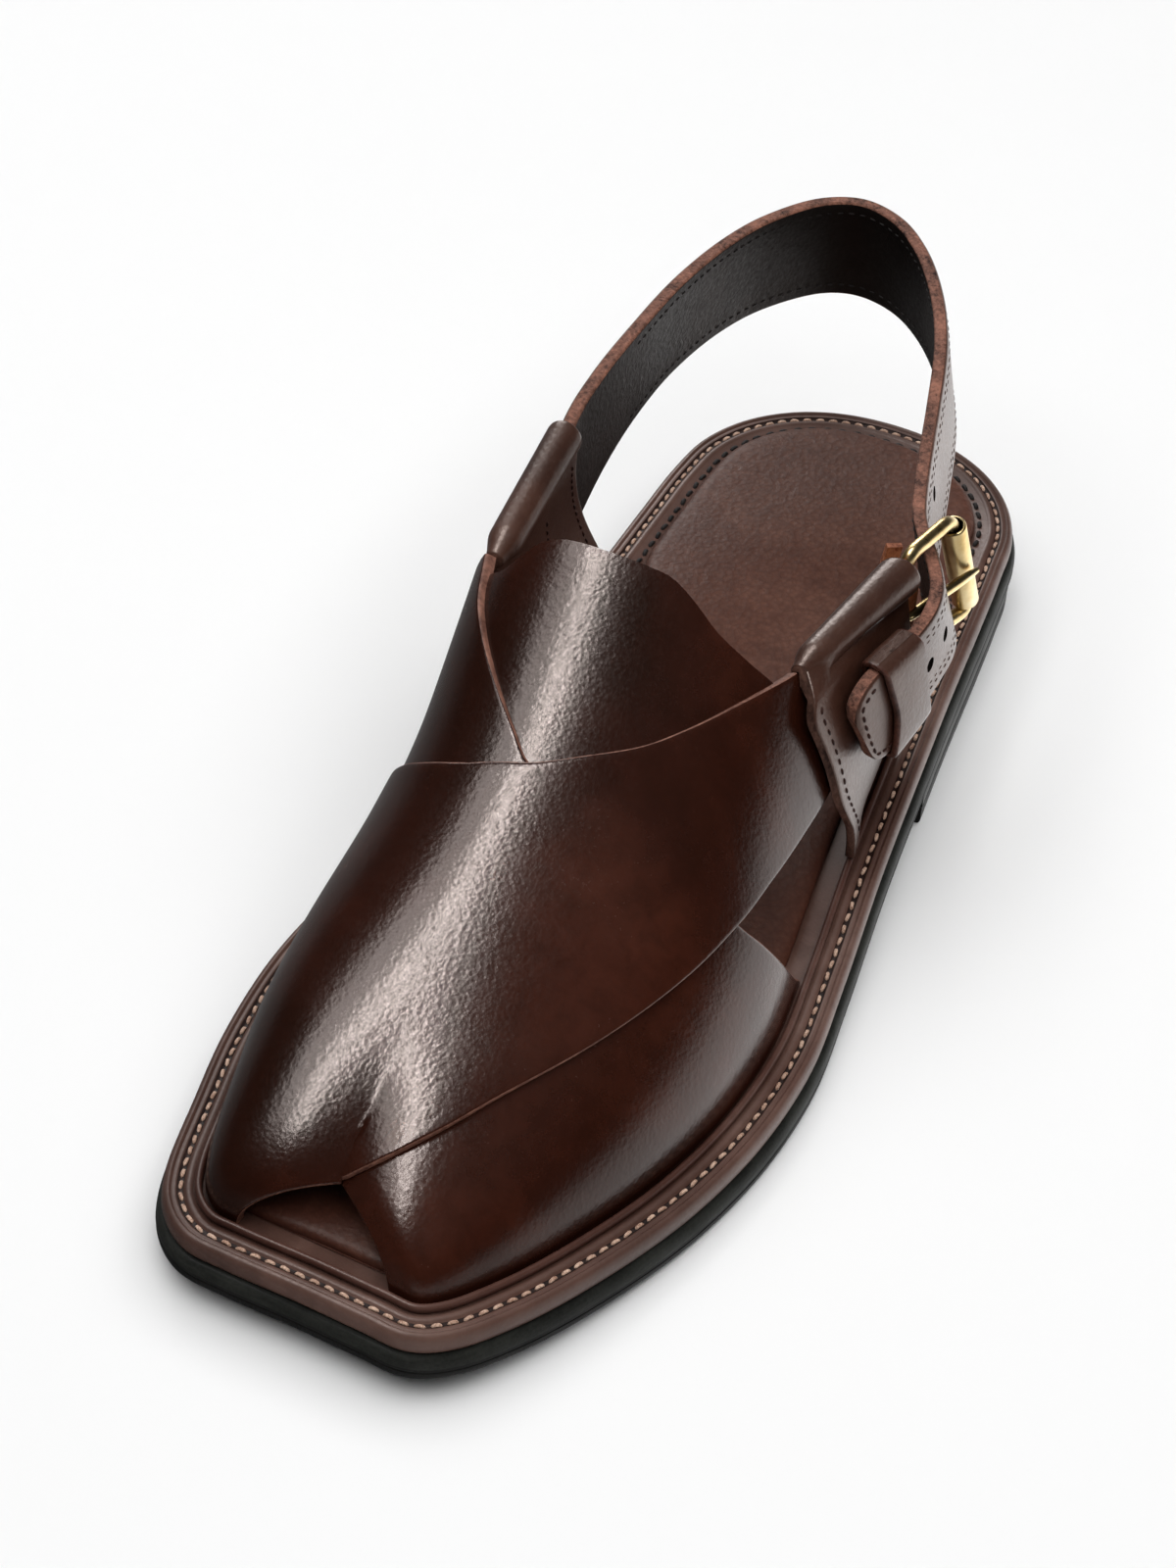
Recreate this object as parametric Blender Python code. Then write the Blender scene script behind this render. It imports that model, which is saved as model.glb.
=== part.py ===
"""Left shoe of a pair of peshawari chappal: a crossed-strap leather sandal with a buckled heel strap.

The shoe stands on z = 0 with its toe towards -Y, its heel towards +Y and its outer (lateral) side towards +X.
Sizes below are in millimetres and are turned into metres when a mesh is made.
"""

import math

import bmesh
import bpy
import numpy as np

MM = 0.001
FRAME_SHIFT = (-0.714, -0.338, 0.0)   # puts the middle of the whole shoe's box on the origin
GAP = 0.3                     # clearance between neighbouring pieces

# ---- plan of the sole: the stitch line of the welt, half widths from the last's centre line ----
# y, x of the medial side, x of the lateral side
WELT_STATIONS = (
    (-131.0, -40.6, 28.6),
    (-112.0, -45.3, 38.0),
    (-92.0, -49.3, 45.6),
    (-70.0, -50.8, 50.7),
    (-48.0, -48.6, 52.3),
    (-24.0, -43.6, 50.2),
    (4.0, -41.0, 47.2),
    (32.0, -39.9, 44.8),
    (62.0, -38.9, 41.9),
    (90.0, -38.4, 39.6),
)
TOE_LINE = ((-36.9, -138.0), (-31.0, -142.6), (-23.0, -143.6), (-7.0, -144.3),
            (7.0, -145.3), (15.0, -145.7), (20.6, -142.2))
HEEL_START_Y = 108.0
HEEL_HALF_WIDTH = 37.9
HEEL_END_Y = 146.0
HEEL_SQUARENESS = 2.15
HEEL_POINTS = 11
TOE_POINTS = 11               # points of a half outline before, beside and behind the side stations
HEEL_END_POINTS = 9
SIDE_STATIONS = np.linspace(-124.0, 116.0, 25)
RIM_COUNT = 2 * (TOE_POINTS + HEEL_END_POINTS + len(SIDE_STATIONS) - 3)
BEND_WEIGHT = 28.0            # a radian of bend takes as many points as this length

# ---- side view of the sole ----
TREAD_FLAT_FRONT = -66.0      # toe spring starts in front of this y
TOE_SPRING = 5.0
TOE_SPRING_RUN = 80.0
ARCH_START = -46.0
ARCH_END = 39.0
HEEL_RISE = 10.0
OUTSOLE_THICKNESS = 6.0
RIM_HEIGHT = 11.0             # top of the midsole rim above the underside of the sole
FLOOR_HEIGHT = 10.6           # top of the midsole inside the rim
HEEL_BREAST_Y = 39.5

# ---- layer edges, offset from the stitch line, positive outwards ----
OUTSOLE_EDGE = 5.0
MIDSOLE_EDGE = 3.7
FEATHER_OFFSET = -6.3         # where the last's surface meets the sole
QUARTER_FOOT_OFFSET = -4.7    # outer face of a quarter at the sole
INSOLE_FORE_OFFSET = -8.6
INSOLE_HEEL_OFFSET = -5.7
LATERAL_STEP_Y = 42.0         # insole widens behind the lateral quarter
MEDIAL_STEP_Y = 60.0
INSOLE_STEP_RUN = 16.0

# ---- sole layers: (offset, height over the sole's underside) ----
OUTSOLE_PROFILE = ((4.2, 0.0), (4.7, 0.5), (OUTSOLE_EDGE, 1.5), (OUTSOLE_EDGE, 5.3), (4.3, OUTSOLE_THICKNESS))
MIDSOLE_PROFILE = ((3.1, OUTSOLE_THICKNESS + GAP), (MIDSOLE_EDGE, 8.2), (3.5, 10.0), (2.4, RIM_HEIGHT),
                   (1.1, 10.9), (0.5, 10.1), (-0.5, 10.1), (-1.1, 10.9), (-1.9, 11.25), (-2.5, FLOOR_HEIGHT))
INSOLE_PROFILE = ((0.0, FLOOR_HEIGHT + GAP), (0.0, 11.9), (-1.7, 12.9), (-6.0, 13.3))
# (offset, height over the ground)
HEEL_PROFILE = ((3.8, 0.0), (4.4, 0.7), (4.5, 4.6), (3.9, 4.7), (3.9, 5.2), (4.5, 5.3), (4.6, HEEL_RISE - GAP))
HEEL_COUNT = 40
RAND_PROFILE = ((-2.75, FLOOR_HEIGHT + GAP), (-2.6, 11.8), (-3.1, 12.6), (-3.9, 12.5), (-4.25, FLOOR_HEIGHT + GAP))
RAND_END_LATERAL = 41.0
RAND_END_MEDIAL = 49.0
RAND_STATIONS = 62

# ---- upper, sections of the last ----
# run of the feather line from the middle of the toe to the section's medial and lateral foot,
# then x, y, z of the ridge, squareness of each side and how far each side bulges over its foot
LAST_SECTIONS = (
    (18.0, 14.5, -8.0, -127.6, 23.6, 2.1, 2.0, 0.0, 0.0),
    (30.0, 26.5, -8.0, -117.0, 30.4, 2.25, 2.0, 0.8, 0.3),
    (47.0, 49.0, -8.4, -103.0, 37.2, 2.35, 2.0, 1.0, 0.4),
    (69.0, 73.0, -9.0, -86.0, 44.4, 2.25, 2.0, 0.7, 0.2),
    (92.0, 97.0, -9.4, -67.0, 51.8, 2.1, 2.0, 0.4, 0.0),
    (116.0, 121.0, -9.8, -46.0, 60.2, 2.25, 2.0, 1.8, -0.4),
    (140.0, 146.0, -12.0, -24.0, 71.4, 2.45, 2.1, 6.8, -0.6),
    (163.0, 171.5, -15.2, -2.6, 84.0, 2.4, 2.2, 11.0, -0.6),
)
LINING_ROWS = 25
LINING_COLUMNS = 31
LINING_DEPTH = 1.6            # inner face of the upper below the last's surface
STRAP_STEP = 1.6              # each strap stands this far above what it crosses
STRAP_ROOT = 0.9              # a strap's underside inside the wall that carries it

# ---- straps of the upper: edges on the last as (section number, turn in degrees from the medial foot) ----
# over-strap: medial forefoot to lateral ankle; under-strap: lateral forefoot to medial ankle
TOE_HALF_OVER = ((0.0, 0.05), (0.0, 30.0), (0.0, 60.0), (0.0, 90.0))
TOE_HALF_UNDER = ((0.0, 179.95), (0.0, 150.0), (0.0, 120.0), (0.0, 91.0))
OVER_REAR_FORE = ((5.54, 0.05), (5.36, 10.0), (5.3, 20.0), (5.24, 33.0), (5.12, 44.0), (4.99, 58.0),
                  (4.94, 69.0), (4.94, 75.0))
OVER_REAR_AFT = ((4.94, 75.0), (4.99, 83.2), (5.07, 91.0), (5.32, 101.0), (5.6, 110.0), (5.96, 118.0),
                 (6.41, 126.7), (6.89, 135.5), (7.0, 137.3))
OVER_FRONT = ((0.0, 90.0), (0.2, 96.0), (0.96, 108.0), (1.57, 115.8), (2.11, 121.2), (3.12, 131.0),
              (4.29, 140.0), (4.91, 144.1), (5.43, 148.1), (5.87, 152.5), (6.5, 158.4), (7.0, 162.0))
UNDER_REAR_FORE = ((5.72, 179.95), (5.54, 174.5), (5.32, 164.3), (5.14, 153.7), (5.02, 145.0),
                   (4.95, 125.0), (4.9, 105.0))
UNDER_REAR_AFT = ((4.9, 105.0), (5.07, 90.4), (5.32, 83.5), (5.75, 72.5), (6.17, 63.1), (6.55, 56.2),
                  (6.87, 53.3), (7.0, 52.0))
UNDER_FRONT = ((0.0, 91.0), (1.0, 74.0), (2.1, 60.0), (3.2, 48.0), (4.3, 35.0), (5.1, 22.0), (5.5, 17.0),
               (6.06, 12.8), (6.55, 11.2), (7.0, 10.5))
# rear edge of the tongue: turn, section number
THROAT_EDGE = ((0.0, 6.9), (48.0, 6.85), (56.0, 6.78), (61.0, 6.75), (68.0, 6.84), (74.0, 6.95), (82.0, 7.0),
               (104.0, 7.0), (110.0, 6.92), (118.0, 6.79), (127.0, 6.77), (137.0, 6.82), (180.0, 6.9))
# side notches, cut a little behind the straps' edges
LATERAL_NOTCH = (
    (((4.95, 143.4), (5.4, 146.6)), ((4.95, 144.6), (5.08, 153.7), (5.26, 164.3), (5.48, 174.5), (5.64, 180.0))),
    (((5.4, 146.6), (5.87, 151.3), (6.5, 157.2), (7.0, 160.8)), ((5.64, 180.0), (7.0, 180.0))),
)
MEDIAL_NOTCH = (
    (((5.02, 23.6), (5.5, 18.4)), ((5.02, 22.4), (5.23, 10.0), (5.46, 0.0))),
    (((5.5, 18.4), (6.06, 14.2), (6.55, 12.6), (7.0, 12.0)), ((5.46, 0.0), (7.0, 0.0))),
)
TOE_SETBACK = 0.09            # lining stops this far behind the straps' toe edge, in sections
STRAP_EDGE_ROUND = 1.1
STRAP_EDGE_DROP = 0.55
FORE_COLUMNS = 12
AFT_COLUMNS = 15
STRAP_ROWS = 13

# ---- quarters: the wall behind the upper, with a rolled top ----
# share of the run from the upper to the rear edge, foot y
QUARTER_STATIONS = (0.0, 0.12, 0.3, 0.5, 0.7, 0.88, 1.0)
QUARTER_HEIGHTS = (0.0, 0.2, 0.42, 0.64, 0.84, 0.93)
ROLL_WALL = 1.7
ROLL_POINTS = 10
# turn of the roll on the last's rear section; rear edge: foot y, roll x, y, z, bulge; thickness front, rear;
# roll x, z at the front, roll radius front, rear; how far the front edge laps forward and outward over the strap;
# power of height with which the front edge turns towards the roll
LATERAL_QUARTER = (137.5, 39.5, 36.9, 36.4, 68.4, 2.6, 2.2, 3.2, 28.2, 64.2, 3.6, 4.8, 8.0, 3.2, 12.0)
MEDIAL_QUARTER = (52.0, 57.0, -39.9, 36.5, 77.6, 5.5, 3.2, 6.6, -38.9, 70.2, 3.7, 4.0, 0.0, 0.0, 2.0)
QUARTER_GAP = 0.55
RECESS_TURNS = (118.0, 172.0)

# ---- heel strap: plan of its outer face at the top and bottom edge, height of its middle, half height ----
STRAP_THICKNESS = 3.2
STRAP_CLEARANCE = 0.32
SLOT_CLEARANCE = 0.5          # the strap twists inside its slot
STRAP_CORNER = 0.7
STRAP_ROWS_TABLE = (
    (-45.0, 48.0, -43.0, 48.0, 61.2, 13.0),
    (-44.9, 62.0, -44.0, 62.0, 63.8, 13.0),
    (-43.9, 80.0, -44.7, 80.0, 65.2, 13.0),
    (-42.0, 100.0, -43.6, 100.0, 66.4, 13.0),
    (-38.0, 119.5, -39.4, 120.5, 67.0, 13.0),
    (-32.8, 133.6, -33.3, 135.2, 67.0, 13.0),
    (-23.9, 146.2, -22.8, 148.2, 67.0, 13.0),
    (-14.8, 150.3, -13.5, 151.6, 67.0, 13.0),
    (-4.8, 147.8, -3.0, 149.6, 66.5, 13.0),
    (4.5, 139.2, 7.2, 141.8, 66.0, 13.0),
    (13.1, 126.5, 17.0, 129.2, 64.6, 12.9),
    (20.1, 111.0, 24.6, 113.4, 62.8, 12.7),
    (25.6, 91.7, 30.3, 93.4, 60.0, 12.4),
    (28.0, 82.2, 32.7, 84.0, 58.6, 12.2),
    (31.9, 67.5, 36.5, 69.2, 56.7, 11.9),
    (34.4, 60.3, 38.8, 62.0, 55.5, 11.8),
    (37.4, 55.0, 42.4, 58.4, 55.0, 11.6),
    (40.4, 50.3, 45.9, 54.6, 54.9, 11.5),
    (43.2, 45.7, 47.9, 50.0, 54.8, 11.4),
    (45.7, 40.2, 48.8, 44.6, 54.7, 11.3),
    (47.0, 33.6, 48.8, 38.2, 54.5, 11.1),
    (46.7, 27.0, 48.6, 31.8, 54.1, 10.8),
    (45.2, 20.6, 48.3, 25.4, 53.6, 10.4),
    (43.3, 14.4, 47.8, 19.0, 53.0, 10.0),
    (42.0, 9.0, 47.1, 13.2, 52.4, 9.7),
    (41.5, 5.8, 46.5, 9.4, 52.0, 9.0),
    (41.3, 4.0, 45.9, 6.8, 51.9, 7.8),
    (41.2, 3.0, 45.3, 5.0, 51.9, 5.8),
    (41.2, 2.7, 44.6, 4.0, 52.0, 3.6),
)
STRAP_STATIONS = 62
SLOT_SHARES = (0.57, 0.69, 0.81)      # strap's stations inside the medial quarter
SLOT_MIDDLE = (54.8, 56.2, 57.8)

# ---- keeper ----
KEEPER_FRONT_Y = 11.6
KEEPER_REAR_Y = 23.4
KEEPER_WALL = 1.6

# ---- buckle ----
ROD_RADIUS = 1.6
NEAR_BAR = (36.4, 42.2)
FRAME_TOP_Z = 69.2
FRAME_BOTTOM_Z = 40.3
FAR_TOP = (40.3, 58.4)
FAR_BOTTOM = (44.6, 67.0)
FRAME_CORNER = 3.4
ROD_SIDES = 10
ROLLER_RADIUS = 2.95
ROLLER_BORE = 2.3
ROLLER_ENDS = (0.09, 0.93)
PRONG_RADIUS = 1.15
PRONG_Z = 55.2
CHAPE_THICKNESS = 1.3
CHAPE_LOW_Z = 43.0
CHAPE_HIGH_Z = 62.8
CHAPE_TAIL_X = 32.2           # middle of the tail, inside the lateral quarter
CHAPE_TAIL_Y = 30.5


def clear_scene():
    for obj in list(bpy.data.objects):
        bpy.data.objects.remove(obj, do_unlink=True)


# ------------------------------------------------------------------ curves and interpolation

def smooth_path(points, count, closed=False):
    """Catmull-Rom curve through points, resampled to count points evenly along its length."""
    pts = np.asarray(points, float)
    if closed:
        padded = np.vstack([pts[-1], pts, pts[0], pts[1]])
    else:
        padded = np.vstack([2 * pts[0] - pts[1], pts, 2 * pts[-1] - pts[-2]])
    dense = []
    for i in range(1, len(padded) - 2):
        a, b, c, d = padded[i - 1:i + 3]
        knots = [0.0]
        for p, q in ((a, b), (b, c), (c, d)):
            knots.append(knots[-1] + max(1e-6, math.sqrt(np.linalg.norm(q - p))))
        t0, t1, t2, t3 = knots
        for t in np.linspace(t1, t2, 17)[:-1]:
            ab = (a * (t1 - t) + b * (t - t0)) / (t1 - t0)
            bc = (b * (t2 - t) + c * (t - t1)) / (t2 - t1)
            cd = (c * (t3 - t) + d * (t - t2)) / (t3 - t2)
            left = (ab * (t2 - t) + bc * (t - t0)) / (t2 - t0)
            right = (bc * (t3 - t) + cd * (t - t1)) / (t3 - t1)
            dense.append((left * (t2 - t) + right * (t - t1)) / (t2 - t1))
    dense.append(padded[-2])
    return resample(np.array(dense), count, closed)


def resample(path, count, closed=False):
    run = np.r_[0.0, np.cumsum(np.linalg.norm(np.diff(path, axis=0), axis=1))]
    stops = np.linspace(0.0, run[-1], count + 1)[:-1] if closed else np.linspace(0.0, run[-1], count)
    return np.stack([np.interp(stops, run, path[:, k]) for k in range(path.shape[1])], axis=1)


def crowd_bends(path, count):
    """Like resample, with more points where the path turns, so that corners stay round."""
    leg = np.diff(path[:, :2], axis=0)
    length = np.linalg.norm(leg, axis=1)
    heading = np.unwrap(np.arctan2(leg[:, 1], leg[:, 0]))
    turning = np.abs(np.gradient(heading))
    run = np.r_[0.0, np.cumsum(length + BEND_WEIGHT * turning)]
    stops = np.linspace(0.0, run[-1], count)
    return np.stack([np.interp(stops, run, path[:, k]) for k in range(path.shape[1])], axis=1)


def ease(value, start, end):
    t = np.clip((np.asarray(value, float) - start) / (end - start), 0.0, 1.0)
    return t * t * (3.0 - 2.0 * t)


def column_curve(rows, at):
    """Natural cubic through a table's columns at whole-number rows, read at fractional rows."""
    table = np.asarray(rows, float)
    n = len(table)
    system = np.eye(n)
    right = np.zeros_like(table)
    for i in range(1, n - 1):
        system[i, i - 1:i + 2] = (1.0, 4.0, 1.0)
        right[i] = 6.0 * (table[i - 1] - 2.0 * table[i] + table[i + 1])
    bend = np.linalg.solve(system, right)
    at = np.clip(np.asarray(at, float), 0.0, n - 1.0)
    i = np.minimum(at.astype(int), n - 2)
    t = (at - i)[..., None]
    u = 1.0 - t
    return (u * table[i] + t * table[i + 1]
            + ((u ** 3 - u) * bend[i] + (t ** 3 - t) * bend[i + 1]) / 6.0)


# ------------------------------------------------------------------ plan and side view of the sole

def welt_line():
    """Dense closed stitch line, from the middle of the toe round the lateral side and back."""
    lateral = [(row[2], row[0]) for row in WELT_STATIONS]
    medial = [(row[1], row[0]) for row in reversed(WELT_STATIONS)]
    heel = []
    for k in range(HEEL_POINTS):
        turn = math.pi * k / (HEEL_POINTS - 1)
        c, s = math.cos(turn), math.sin(turn)
        power = 2.0 / HEEL_SQUARENESS
        heel.append((HEEL_HALF_WIDTH * math.copysign(abs(c) ** power, c),
                     HEEL_START_Y + (HEEL_END_Y - HEEL_START_Y) * s ** power))
    middle = len(TOE_LINE) // 2
    points = list(TOE_LINE[middle:]) + lateral + heel + medial + list(TOE_LINE[:middle])
    return smooth_path(points, 720, closed=True)


WELT = welt_line()


def normals_of(loop):
    ahead = np.roll(loop, -1, axis=0) - np.roll(loop, 1, axis=0)
    ahead /= np.linalg.norm(ahead, axis=1)[:, None]
    return np.stack([ahead[:, 1], -ahead[:, 0]], axis=1)


def half_outline(line):
    """A half outline from toe to heel, whose points along the side stand at the shared side stations."""
    start = int(np.argmax(line[:, 1] > SIDE_STATIONS[0]))
    end = len(line) - int(np.argmax(line[::-1, 1] < SIDE_STATIONS[-1]))
    side_x = np.interp(SIDE_STATIONS, line[start - 1:end + 1, 1], line[start - 1:end + 1, 0])
    side = np.column_stack([side_x, SIDE_STATIONS])
    toe = crowd_bends(np.vstack([line[:start], side[:1]]), TOE_POINTS)
    heel = crowd_bends(np.vstack([side[-1:], line[end:]]), HEEL_END_POINTS)
    return np.vstack([toe[:-1], side, heel[1:]])


def sole_outline(offset):
    """Closed outline at an offset from the stitch line, paired: point i lies opposite point -i.

    offset is a number, or a function of the stitch line."""
    normal = normals_of(WELT)
    shift = offset(WELT) if callable(offset) else np.full(len(WELT), float(offset))
    loop = WELT + normal * shift[:, None]
    back = int(np.argmax(WELT[:, 1]))
    lateral = half_outline(loop[:back + 1])
    medial = half_outline(np.vstack([loop[:1], loop[:back - 1:-1]]))
    return np.vstack([lateral[:-1], medial[:0:-1]])


def tread_height(y):
    """Height of the sole's underside over the ground: toe spring, flat tread, rise to the heel."""
    y = np.asarray(y, float)
    spring = np.clip((TREAD_FLAT_FRONT - y) / TOE_SPRING_RUN, 0.0, None)
    return TOE_SPRING * spring ** 2 + HEEL_RISE * ease(y, ARCH_START, ARCH_END)


def on_sole(outline, height):
    """Outline in plan lifted to a height over the sole's underside."""
    return np.column_stack([outline, tread_height(outline[:, 1]) + height])


# ------------------------------------------------------------------ meshes

def material(name, colour, roughness, metallic=0.0):
    mat = bpy.data.materials.new(name)
    mat.use_nodes = True
    shader = mat.node_tree.nodes["Principled BSDF"]
    shader.inputs["Base Color"].default_value = (*colour, 1.0)
    shader.inputs["Roughness"].default_value = roughness
    shader.inputs["Metallic"].default_value = metallic
    return mat


def add_mesh(name, points, faces, mat):
    mesh = bpy.data.meshes.new(name)
    mesh.from_pydata([tuple(p) for p in (np.asarray(points) + FRAME_SHIFT) * MM], [], faces)
    work = bmesh.new()
    work.from_mesh(mesh)
    bmesh.ops.recalc_face_normals(work, faces=work.faces)
    work.to_mesh(mesh)
    work.free()
    mesh.materials.append(mat)
    obj = bpy.data.objects.new(name, mesh)
    bpy.context.scene.collection.objects.link(obj)
    return obj


def ring_faces(rings, count):
    """Quads between successive closed rings of count points."""
    faces = []
    for r in range(rings - 1):
        for i in range(count):
            j = (i + 1) % count
            faces.append((r * count + i, r * count + j, (r + 1) * count + j, (r + 1) * count + i))
    return faces


def paired_cap(first, count):
    """Cap of a ring whose point i lies opposite point count - i, as strips across the shoe."""
    faces = []
    half = count // 2
    for i in range(half):
        corners = [first + i, first + i + 1, first + (count - i - 1) % count, first + (count - i) % count]
        corners = list(dict.fromkeys(corners))
        faces.append(tuple(corners))
    return faces


def sole_layer(name, profile, mat):
    """Solid with the sole's plan: profile rows are (offset, height over the sole's underside)."""
    rings = [on_sole(sole_outline(offset), height) for offset, height in profile]
    faces = ring_faces(len(rings), RIM_COUNT)
    faces += paired_cap(0, RIM_COUNT)
    faces += paired_cap((len(rings) - 1) * RIM_COUNT, RIM_COUNT)
    return add_mesh(name, np.vstack(rings), faces, mat)


def loft(name, rings, mat, closed_along=False):
    """Solid through closed rings of equal count, with flat n-gon ends unless it closes on itself."""
    count = len(rings[0])
    total = len(rings)
    points = np.vstack(rings)
    faces = ring_faces(total, count)
    if closed_along:
        last = (total - 1) * count
        faces += [(last + i, last + (i + 1) % count, (i + 1) % count, i) for i in range(count)]
    else:
        faces.append(tuple(range(count)))
        faces.append(tuple((total - 1) * count + i for i in range(count)))
    return add_mesh(name, points, faces, mat)


def shell(name, outer, inner, mat):
    """Closed wall between two grids of points with the same rows and columns."""
    rows, columns = outer.shape[:2]
    points = np.vstack([outer.reshape(-1, 3), inner.reshape(-1, 3)])
    below = rows * columns

    def at(r, c):
        return r * columns + c

    faces = []
    for r in range(rows - 1):
        for c in range(columns - 1):
            quad = (at(r, c), at(r, c + 1), at(r + 1, c + 1), at(r + 1, c))
            faces.append(quad)
            faces.append(tuple(below + k for k in reversed(quad)))
    rim = [at(0, c) for c in range(columns)] + [at(r, columns - 1) for r in range(1, rows)]
    rim += [at(rows - 1, c) for c in range(columns - 2, -1, -1)] + [at(r, 0) for r in range(rows - 2, 0, -1)]
    for k, a in enumerate(rim):
        b = rim[(k + 1) % len(rim)]
        faces.append((b, a, below + a, below + b))
    return add_mesh(name, points, faces, mat)


# ------------------------------------------------------------------ the last

def feather_line():
    """The last's edge on the sole, from the middle of the toe: medial side, then lateral side."""
    loop = WELT + normals_of(WELT) * FEATHER_OFFSET
    back = int(np.argmax(WELT[:, 1]))
    lateral = loop[:back + 1]
    medial = np.vstack([loop[:1], loop[:back - 1:-1]])
    return medial, lateral


FEATHER_MEDIAL, FEATHER_LATERAL = feather_line()


def feather_point(line, run):
    steps = np.r_[0.0, np.cumsum(np.linalg.norm(np.diff(line, axis=0), axis=1))]
    plan = np.stack([np.interp(run, steps, line[:, k]) for k in range(2)], axis=-1)
    return np.concatenate([plan, (tread_height(plan[..., 1]) + FLOOR_HEIGHT + GAP)[..., None]], axis=-1)


def last_surface(section, turn):
    """Point of the last: section number (fractional) and turn in degrees, 0 medial foot to 180 lateral foot."""
    section, turn = np.broadcast_arrays(np.asarray(section, float), np.asarray(turn, float))
    row = column_curve(LAST_SECTIONS, section)
    ridge = row[..., 2:5]
    medial = turn <= 90.0
    foot = np.where(medial[..., None], feather_point(FEATHER_MEDIAL, row[..., 0]),
                    feather_point(FEATHER_LATERAL, row[..., 1]))
    square = np.where(medial, row[..., 5], row[..., 6])
    bulge = np.where(medial, row[..., 7], row[..., 8])
    angle = np.radians(np.where(medial, turn, 180.0 - turn))
    rise = np.sin(angle) ** (2.0 / square)
    spread = np.cos(angle).clip(0.0, 1.0) ** (2.0 / square)
    plan = ridge[..., :2] + (foot[..., :2] - ridge[..., :2]) * spread[..., None]
    side = np.where(medial, -1.0, 1.0) * bulge * np.sin(2.0 * angle)
    height = foot[..., 2] + (ridge[..., 2] - foot[..., 2]) * rise
    return np.stack([plan[..., 0] + side, plan[..., 1], height], axis=-1)


def last_normal(section, turn):
    step_s, step_t = 0.04, 1.0
    low_s, high_s = np.clip(section - step_s, 0, 7), np.clip(section + step_s, 0, 7)
    low_t, high_t = np.clip(turn - step_t, 0, 180), np.clip(turn + step_t, 0, 180)
    along = last_surface(high_s, turn) - last_surface(low_s, turn)
    around = last_surface(section, high_t) - last_surface(section, low_t)
    normal = np.cross(along, around)
    normal /= np.linalg.norm(normal, axis=-1)[..., None]
    return -normal


def on_last(section, turn, lift):
    """Point a given distance outside the last; at the sole the lift stays level with it."""
    section, turn = np.broadcast_arrays(np.asarray(section, float), np.asarray(turn, float))
    normal = last_normal(section, turn)
    base = last_surface(section, turn)
    lifted = base + normal * np.asarray(lift, float)[..., None]
    at_sole = np.minimum(np.sin(np.radians(turn)) / math.sin(math.radians(12.0)), 1.0)
    lifted[..., 2] = base[..., 2] + (lifted[..., 2] - base[..., 2]) * at_sole
    return lifted


# ------------------------------------------------------------------ Booleans

def combine(body, tool, operation):
    """Boolean of body with tool; the tool is hidden in its own collection."""
    modifier = body.modifiers.new(tool.name, "BOOLEAN")
    modifier.operation = operation
    modifier.solver = "EXACT"
    modifier.object = tool
    bench = bpy.data.collections.get("Cutters")
    if bench is None:
        bench = bpy.data.collections.new("Cutters")
        bpy.context.scene.collection.children.link(bench)
    bpy.context.scene.collection.objects.unlink(tool)
    bench.objects.link(tool)
    tool.hide_render = True
    tool.display_type = "WIRE"


# ------------------------------------------------------------------ sole pieces

def insole_offset(inset):
    def offset(loop):
        start = np.where(loop[:, 0] > 0.0, LATERAL_STEP_Y, MEDIAL_STEP_Y)
        step = ease(loop[:, 1] - start, 0.0, INSOLE_STEP_RUN)
        return INSOLE_FORE_OFFSET + (INSOLE_HEEL_OFFSET - INSOLE_FORE_OFFSET) * step + inset
    return offset


def make_insole(mat):
    return sole_layer("insole", [(insole_offset(inset), height) for inset, height in INSOLE_PROFILE], mat)


def make_heel_block(mat):
    rings = []
    for offset, height in HEEL_PROFILE:
        outline = WELT + normals_of(WELT) * offset
        back = int(np.argmax(outline[:, 1]))
        lateral, medial = outline[:back + 1], outline[back:]
        breast = [(np.interp(HEEL_BREAST_Y, lateral[60:, 1], lateral[60:, 0]), HEEL_BREAST_Y),
                  (np.interp(-HEEL_BREAST_Y, -medial[:-60, 1], medial[:-60, 0]), HEEL_BREAST_Y)]
        rear = outline[outline[:, 1] > HEEL_BREAST_Y + 0.5]
        plan = crowd_bends(np.vstack([breast[:1], rear, breast[1:]]), HEEL_COUNT)
        rings.append(np.column_stack([plan, np.full(HEEL_COUNT, height)]))
    return loft("heel_block", rings, mat)


def make_rand(mat):
    frames = np.hstack([WELT, normals_of(WELT)])
    back = int(np.argmax(WELT[:, 1]))
    medial = frames[back:][frames[back:, 1] < RAND_END_MEDIAL]
    lateral = frames[:back][frames[:back, 1] < RAND_END_LATERAL]
    stations = crowd_bends(np.vstack([medial, lateral]), RAND_STATIONS)
    rings = []
    for row in stations:
        normal = row[2:4] / np.linalg.norm(row[2:4])
        plan = np.array([row[:2] + normal * offset for offset, height in RAND_PROFILE])
        rings.append(on_sole(plan, np.array([height for offset, height in RAND_PROFILE])))
    return loft("rand", rings, mat)


# ------------------------------------------------------------------ upper

def edge_run(table, count):
    """Smooth edge through (section, turn) rows, evenly spaced on the last."""
    scale = np.array([20.0, 0.8])
    return smooth_path(np.array(table) * scale, count) / scale


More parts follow.
